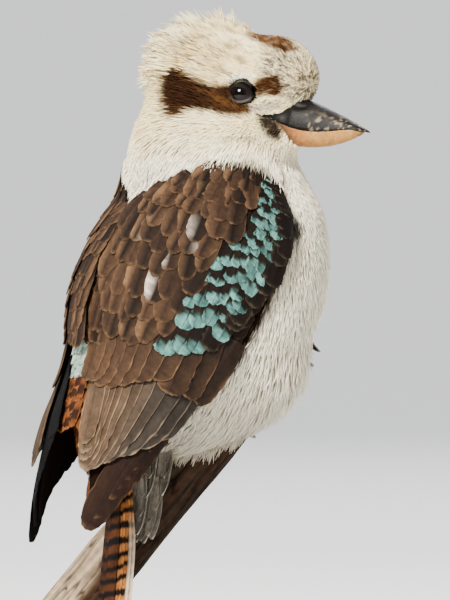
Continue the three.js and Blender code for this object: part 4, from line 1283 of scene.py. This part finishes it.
def build_eye(side):
    word = "right" if side > 0 else "left"
    out = unit(head.way(0.25, side, 0.06))
    forward = unit(head.f - out * (head.f @ out))
    up = np.cross(out, forward) * side
    centre = eyes[side]
    lat = np.linspace(0, math.pi, BALL_RINGS)
    lon = np.linspace(0, 2 * math.pi, BALL_SIDES, endpoint=False)
    bulge = EYE["radius"] * (1 + 0.03 * np.exp(-((lat / 0.55) ** 2)))
    ring = bulge * np.sin(lat)
    p = centre + (bulge * np.cos(lat))[:, None, None] * out + ring[:, None, None] * (
        np.cos(lon)[None, :, None] * forward + np.sin(lon)[None, :, None] * up
    )
    p = p.reshape(-1, 3)
    angle = np.repeat(np.degrees(lat), BALL_SIDES)
    c = np.broadcast_to(srgb(6, 4, 4), p.shape).copy()
    iris = smooth(21, 24, angle) * smooth(47, 43, angle)
    c = lay(c, srgb(34, 17, 9), iris * (0.8 + 0.2 * np.sin(np.tile(lon, BALL_RINGS) * 23)))
    eye = make(
        f"eyeball_{word}", p, grid_faces(BALL_RINGS, BALL_SIDES, True)[:, ::-1], EYEBALL, c
    )
    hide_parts(f"eye_{word}")
    # The lid
    a = np.linspace(0, 2 * math.pi, LID_RINGS, endpoint=False)
    b = np.linspace(0, 2 * math.pi, LID_SIDES, endpoint=False)
    hw = EYE["half_width"] + 0.5 * np.exp(-((np.cos(a) - 1) ** 2) / 0.06)
    radial = (
        (np.cos(a) * hw)[:, None] * forward
        + (np.sin(a) * EYE["half_height"] * (1 - 0.06 * np.cos(a)))[:, None] * up
    )
    reach = np.linalg.norm(radial, axis=-1)
    depth = np.sqrt(np.maximum((EYE["radius"] + 0.25) ** 2 - reach**2, 0.4))
    middle = centre + radial + out * depth[:, None]
    away = unit(radial)
    thick = 0.95 + 0.12 * np.sin(a * 19) * 0.4
    ring = (
        middle[:, None]
        + (1.15 * thick[:, None] * np.cos(b))[..., None] * (away[:, None] * 0.86 - out * 0.5)
        + (0.7 * thick[:, None] * np.sin(b))[..., None] * (out * 0.86 + away[:, None] * 0.5)
    )
    lower = smooth(0.1, -0.7, np.sin(a))[:, None] * np.ones(LID_SIDES)
    inner = smooth(-0.2, -0.9, np.cos(b))[None] * np.ones((LID_RINGS, 1))
    c = lay(
        np.broadcast_to(srgb(16, 11, 9), (LID_RINGS, LID_SIDES, 3)).copy(), srgb(120, 112, 108), lower * 0.5
    )
    c = lay(c, srgb(22, 14, 11), inner * 0.8)
    faces = np.vstack([grid_faces(LID_RINGS, LID_SIDES, True), ring_close(LID_RINGS, LID_SIDES)])
    make(f"lid_{word}", ring.reshape(-1, 3), faces, LID, c.reshape(-1, 3))


def ring_close(rows, columns):
    j = np.arange(columns)
    a, b = (rows - 1) * columns + j, (rows - 1) * columns + (j + 1) % columns
    return np.stack([a, b, (j + 1) % columns, j], -1)


for side in (1, -1):
    build_eye(side)


# Bill
def mouth_line(f):
    t = np.maximum((f - BILL["gape"]) / (BILL["tip"] - BILL["gape"]), 0)
    return -10 - 5.2 * np.sin(math.pi * np.minimum(t * 1.18, 1)) ** 1.2 + (BILL["drop"] + 10) * t**2


def from_gape(f):
    return np.maximum((f - BILL["gape"]) / (BILL["base"] - BILL["gape"]), 0)


def bill_width(f):
    t = np.clip((f - BILL["base"]) / (BILL["tip"] - BILL["base"]), 0, 1)
    ahead = np.maximum(10.8 * (1 - t) ** 0.62, 0.3)
    start = head.at(f, np.zeros_like(f), mouth_line(f))
    face = np.minimum(
        surface_from(whole, start, head.r + 0 * start), surface_from(whole, start, -head.r + 0 * start)
    )
    return np.where(f >= BILL["base"], ahead, mix(10.8, face + 0.4, np.minimum((1 - from_gape(f)) * 1.6, 1)))


def culmen(f):
    t = np.clip((f - BILL["base"]) / (BILL["tip"] - BILL["base"]), 0, 1)
    return np.where(
        f >= BILL["base"], mix(0.6, BILL["drop"] + 0.8, t**1.32),
        mix(mouth_line(f) + 1.1, 0.6, from_gape(f).clip(0, 1) ** 1.5)
    )


def keel(f):
    tip = BILL["tip"] - 3.6
    t = np.clip((f - BILL["base"]) / (tip - BILL["base"]), 0, 1)
    return np.where(
        f >= BILL["base"], mix(-25, mouth_line(np.array(tip)) - 0.9, t**2.3),
        mix(mouth_line(f) - 1.1, -25, from_gape(f).clip(0, 1) ** 1.3)
    )


def bill_half(upper):
    tip = BILL["tip"] if upper else BILL["tip"] - 3.6
    f = np.concatenate([np.linspace(5, tip - 6, 70), tip - 6 * np.linspace(1, 0, 24)[1:] ** 1.5])
    sign = 1 if upper else -1
    w = bill_width(f if upper else f + np.where(f > 24, 1.5, 0)) * (1 if upper else 0.93)
    close = np.sqrt(np.clip((tip - f) / 1.6, 0.0004, 1))
    seam = mouth_line(f) + sign * GAP / 2
    edge = culmen(f) if upper else keel(f)
    k = 40
    a = np.linspace(0, math.pi, k + 1)
    across = np.cos(a)
    rise = np.sin(a) ** 0.92
    x = w[:, None] * across * close[:, None]
    z = seam[:, None] + (edge - seam)[:, None] * rise * (0.55 + 0.45 * close[:, None])
    # A groove for the nostril, a lip along the cutting edge and the uneven surface of horn
    p = head.at(f[:, None] * np.ones(k + 1), x, z)
    out = unit(head.way(np.zeros_like(x), across * np.ones_like(x), sign * rise * np.ones_like(x)))
    if upper:
        for s in (1, -1):
            d = np.hypot((head.read(p)[0] - 26.5) / 4.6, (z + 3.6) / 1.25)
            p = p - out * (1.1 * np.exp(-(d**2)) * (np.sign(x) == s))[..., None]
    lip = np.exp(-((rise / 0.16) ** 2)) * smooth(20, 30, f)[:, None]
    p = p + out * (0.22 * lip * (f < tip - 5)[:, None])[..., None]
    p = p + out * (0.10 * noise(p, 2.4) + 0.05 * noise(p, 0.8))[..., None] * close[:, None, None]
    bottom = head.at(
        f[:, None] * np.ones(7), w[:, None] * np.linspace(-1, 1, 9)[1:-1] * close[:, None],
        seam[:, None] * np.ones(7)
    )
    ring = np.concatenate([p, bottom], 1)
    verts = ring.reshape(-1, 3)
    faces = grid_faces(len(f), ring.shape[1], True)
    ff, _, nn = head.read(verts)
    fine, broad = noise(verts, 1.4, 2.0), noise(verts * np.array([0.5, 1, 1]), 5.0, 1.0)
    if upper:
        c = np.broadcast_to(srgb(22, 20, 20), verts.shape).copy()
        c = lay(c, srgb(62, 57, 53), smooth(0.0, 0.6, broad + 0.5 * fine) * 0.5)
        c = lay(
            c, srgb(150, 136, 112),
            smooth(0.3, 0.6, fine + 0.3 * broad) * smooth(26, 34, ff) * smooth(-4, -10, nn) * 0.7
        )
        c = lay(c, srgb(14, 12, 12), smooth(60, 67, ff) * 0.4 + smooth(20, 8, ff) * 0.6)
        # The nostril is laid near black: painted shade in its opening
        c = lay(c, srgb(5, 4, 4), np.exp(-(((ff - 26.5) / 3.4) ** 2) - ((nn + 3.6) / 0.75) ** 2) * 0.95)
    else:
        c = np.broadcast_to(srgb(160, 118, 68), verts.shape).copy()
        c = lay(c, srgb(184, 146, 90), smooth(-0.1, 0.6, broad) * 0.5 + 0.4 * smooth(34, 56, ff))
        c = lay(c, srgb(176, 112, 74), smooth(40, 26, ff) * 0.4)
        c = lay(c, srgb(60, 48, 42), smooth(31, 20, ff + 4 * broad + 2 * fine) * 0.8)
        c = lay(c, srgb(90, 72, 58), smooth(57, 64, ff) * 0.5)
    name = "bill_top" if upper else "bill_under"
    obj = make(
        name, verts, faces if upper else faces[:, ::-1], HORN, c,
    )
    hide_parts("bill_upper" if upper else "bill_lower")


bill_half(True)
bill_half(False)


# Feet
def perch_radius(t):
    return mix(PERCH["radius"], PERCH["top"], (t + PERCH["down"]) / (PERCH["up"] + PERCH["down"]))


def round_perch(t, angle, radius):
    a = np.radians(angle)
    return perch.at(t + 0 * a, -radius * np.sin(a), radius * np.cos(a))


TOES = [("inner", -9, 118, 0.95), ("middle", 0.5, 146, 1.05), ("outer", 9, 128, 1.0), ("rear", -2, -96, 1.0)]


def build_foot(word):
    t0 = FOOT[word]
    ring0 = perch_radius(t0)
    parts = []
    for name, spread, reach, size in TOES:
        u = np.linspace(0, 1, 90)
        taper = TOE * size * (1 - 0.22 * u)
        pads = 1 + 0.09 * np.cos(u * 2 * math.pi * 3.5) + 0.045 * np.abs(np.sin(u * math.pi * 17))
        path = round_perch(t0 + spread * np.minimum(u * 1.7, 1), reach * u, ring0 + GAP + taper)
        parts.append(tube(path, taper * pads * 0.97, 16))
        # Claw
        base = TOE * size * 0.78
        turn = math.copysign(1, reach)
        w = np.linspace(0, 1, 26)
        rc = ring0 + GAP + base
        swing = reach + turn * (math.degrees(9.5 / rc) * w - 1.5)
        claw = round_perch(t0 + spread + 0 * w, swing, rc + 1.6 * np.sin(math.pi * w * 0.9) - 1.2 * w)
        v, fc = tube(claw, mix(base * 0.74, 0.22, w**1.3), 14)
        c = lay(
            np.broadcast_to(srgb(48, 42, 37), v.shape).copy(), srgb(86, 76, 66),
            smooth(0.1, 0.7, noise(v, 1.6)) * 0.6
        )
        obj = make(f"talon_{word}_{name}", v, fc, CLAW, c)
        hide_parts(f"claw_{word}_{name}")
    c0 = round_perch(np.array(t0), np.array(0.0), ring0 + 3.6)
    steps = np.array([-4.4, -2, 0, 2, 4.4])
    parts.append(tube(c0 + steps[:, None] * perch.f, [2.0, 3.8, 4.3, 3.8, 2.0], 18))
    v, fc = merge(parts)
    c = lay(
        np.broadcast_to(srgb(96, 90, 76), v.shape).copy(), srgb(60, 54, 46),
        smooth(-0.2, 0.6, noise(v, 1.5)) * 0.7
    )
    foot = make(f"toes_{word}", v, fc, SCUTE, c)
    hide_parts(f"foot_{word}")
    start = round_perch(np.array(t0), np.array(0.0), ring0 + 4)
    end = body.at(10 if t0 > 0 else 2, 10 if t0 > 0 else -10, -18)
    w = np.linspace(0, 1, 40)
    path = start + unit(end - start) * (25 * w)[:, None]
    v, fc = tube(path, 3.4 * (1 + 0.5 * w) * (1 + 0.05 * np.abs(np.sin(w * math.pi * 9))), 18)
    c = np.broadcast_to(srgb(92, 86, 74), v.shape)
    leg = make(f"tarsus_{word}", v, fc, SCUTE, c)
    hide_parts(f"leg_{word}")


for word in ("right", "left"):
    build_foot(word)


# Branch
def build_branch():
    rows, sides = 260, 150
    t = np.linspace(-PERCH["down"], PERCH["up"], rows)
    angle = np.linspace(0, 360, sides, endpoint=False)
    T, A = np.meshgrid(t, angle, indexing="ij")
    r = np.radians(A)
    uneven = 0.35 * np.sin(0.09 * T + 2 * r) + 0.3 * np.sin(0.041 * T + 5 * r)
    base = perch_radius(T) + uneven - 0.6
    q = np.stack([T * 0.10, np.cos(r) * base, np.sin(r) * base], -1)
    crack = np.abs(noise(q, 2.6, 4.0))
    groove = (
        -0.9 * smooth(0.10, 0.0, crack) + 0.30 * noise(q, 1.2, 8.0)
        + 0.45 * noise(q * np.array([2, 1, 1]), 6.0, 2.0)
    )
    knot = np.exp(-(((T + 118) / 9) ** 2) - (((A - 330 + 180) % 360 - 180) / 24) ** 2)
    radius = np.minimum(base + groove + 1.8 * knot, perch_radius(T) + 0.9)
    ragged = np.where(T > PERCH["up"] - 1, 2 * np.sin(3 * r) + 1.5 * np.sin(5 * r) + 1.2 * noise(q, 1.5), 0)
    p = round_perch(T + ragged, A, radius)
    ends = [round_perch(np.array([x]), np.array([0.0]), np.array([0.0])) for x in (t[0], t[-1] - 4)]
    p = np.concatenate([np.repeat(ends[0][None], sides, 1), p, np.repeat(ends[1][None], sides, 1)])
    verts = p.reshape(-1, 3)
    pale, grey, dark = srgb(186, 168, 140), srgb(132, 116, 98), srgb(58, 46, 38)
    c = np.broadcast_to(grey, (rows, sides, 3)).copy()
    c = lay(c, pale, smooth(-0.3, 0.5, noise(q, 3.0, 6.0)) * 0.7)
    c = lay(c, dark, smooth(0.13, 0.0, crack) * 0.85 + 0.25 * smooth(0.2, 0.8, noise(q, 8.0, 3.0)))
    # Painted shade: the underside and the upper part are laid dark brown as in shadow; the lower left stays
    # pale
    branch_shade = smooth(
        -0.1, 0.5, -np.cos(r) + 0.35 * noise(q, 5.0, 11.0) + 0.6 * smooth(-130, -60, T) - 0.35 * np.sin(r)
    )
    c = lay(
        c, mix(srgb(58, 38, 27), srgb(28, 18, 13), smooth(-0.4, 0.6, noise(q, 2.2, 5.0))[..., None]),
        branch_shade * 0.92
    )

    def ring(x):
        return np.broadcast_to(x, (1, sides, 3))

    c = np.concatenate([ring(srgb(160, 136, 104)), c, ring(srgb(140, 116, 88))]).reshape(-1, 3)
    branch = make("branch", verts, grid_faces(rows + 2, sides, True)[:, ::-1], WOOD, c)
    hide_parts("perch")


build_branch()

# Stand keeps its solids, with finished materials
for name, look in (("stand_base", STAND), ("stand_rod", ROD)):
    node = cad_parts[name]
    node.data.materials.clear()
    node.data.materials.append(look)

# Floor, backdrop, light and camera
floor_look = material("floor", 0.7, colour=(0.78, 0.78, 0.77), bump=0.05, scale=30)
FLOOR = dict(near=-12000, flat=9000, bend=5000, top=16000, side=14000.0, sunk=0.05)


def build_floor():
    """A flat floor that curves up into the backdrop far behind."""
    r, flat = FLOOR["bend"], FLOOR["flat"]
    bend = [(flat + r * math.sin(q), r - r * math.cos(q)) for q in np.linspace(0.08, math.pi / 2, 16)]
    profile = [(FLOOR["near"], 0), (flat, 0)] + bend + [(flat + r, FLOOR["top"])]
    sides = (-FLOOR["side"], FLOOR["side"])
    verts = np.array([(x, y, z - FLOOR["sunk"]) for y, z in profile for x in sides])
    obj = make("floor", verts, grid_faces(len(profile), 2, False), floor_look)
    obj.parent = None


build_floor()


def area(name, where, aim, power, size, colour=(1, 1, 1)):
    light = bpy.data.lights.new(name, "AREA")
    light.energy, light.size, light.color = power, size, colour
    obj = bpy.data.objects.new(name, light)
    obj.location = where
    obj.rotation_euler = (Vector(aim) - Vector(where)).to_track_quat("-Z", "Y").to_euler()
    bpy.context.scene.collection.objects.link(obj)


area("key", (-1.0, -1.9, 1.6), (0, 0, 0.24), power=230, size=0.7, colour=(1.0, 0.96, 0.88))
area("fill", (1.9, -1.6, 0.7), (0, 0, 0.22), power=9, size=1.6, colour=(0.85, 0.92, 1.0))
area("backdrop", (0, 3.6, 5.5), (0, 8.6, 0), power=900, size=7.0)
area("rim", (0.6, 1.6, 1.6), (0, 0, 0.25), power=30, size=1.0)
SKY, SKY_LIGHT = (0.83, 0.87, 0.93, 1), 0.5
world = bpy.data.worlds.new("world")
bpy.context.scene.world = world
world.use_nodes = True
world.node_tree.nodes["Background"].inputs["Color"].default_value = SKY
world.node_tree.nodes["Background"].inputs["Strength"].default_value = SKY_LIGHT

# At the bird the picture is 0.3158 m high. The sensor is in millimetres and the rest in metres
VIEW = dict(place=(0.0184, -4.2, 0.2229), distance=4.17, height=0.3158, sensor=36)
camera = bpy.data.objects.new("camera", bpy.data.cameras.new("camera"))
bpy.context.scene.collection.objects.link(camera)
camera.location = VIEW["place"]
camera.rotation_euler = (math.pi / 2, 0, 0)
camera.data.sensor_width = VIEW["sensor"]
camera.data.lens = VIEW["sensor"] * VIEW["distance"] / VIEW["height"]
camera.data.clip_start, camera.data.clip_end = 0.1, 50
bpy.context.scene.camera = camera
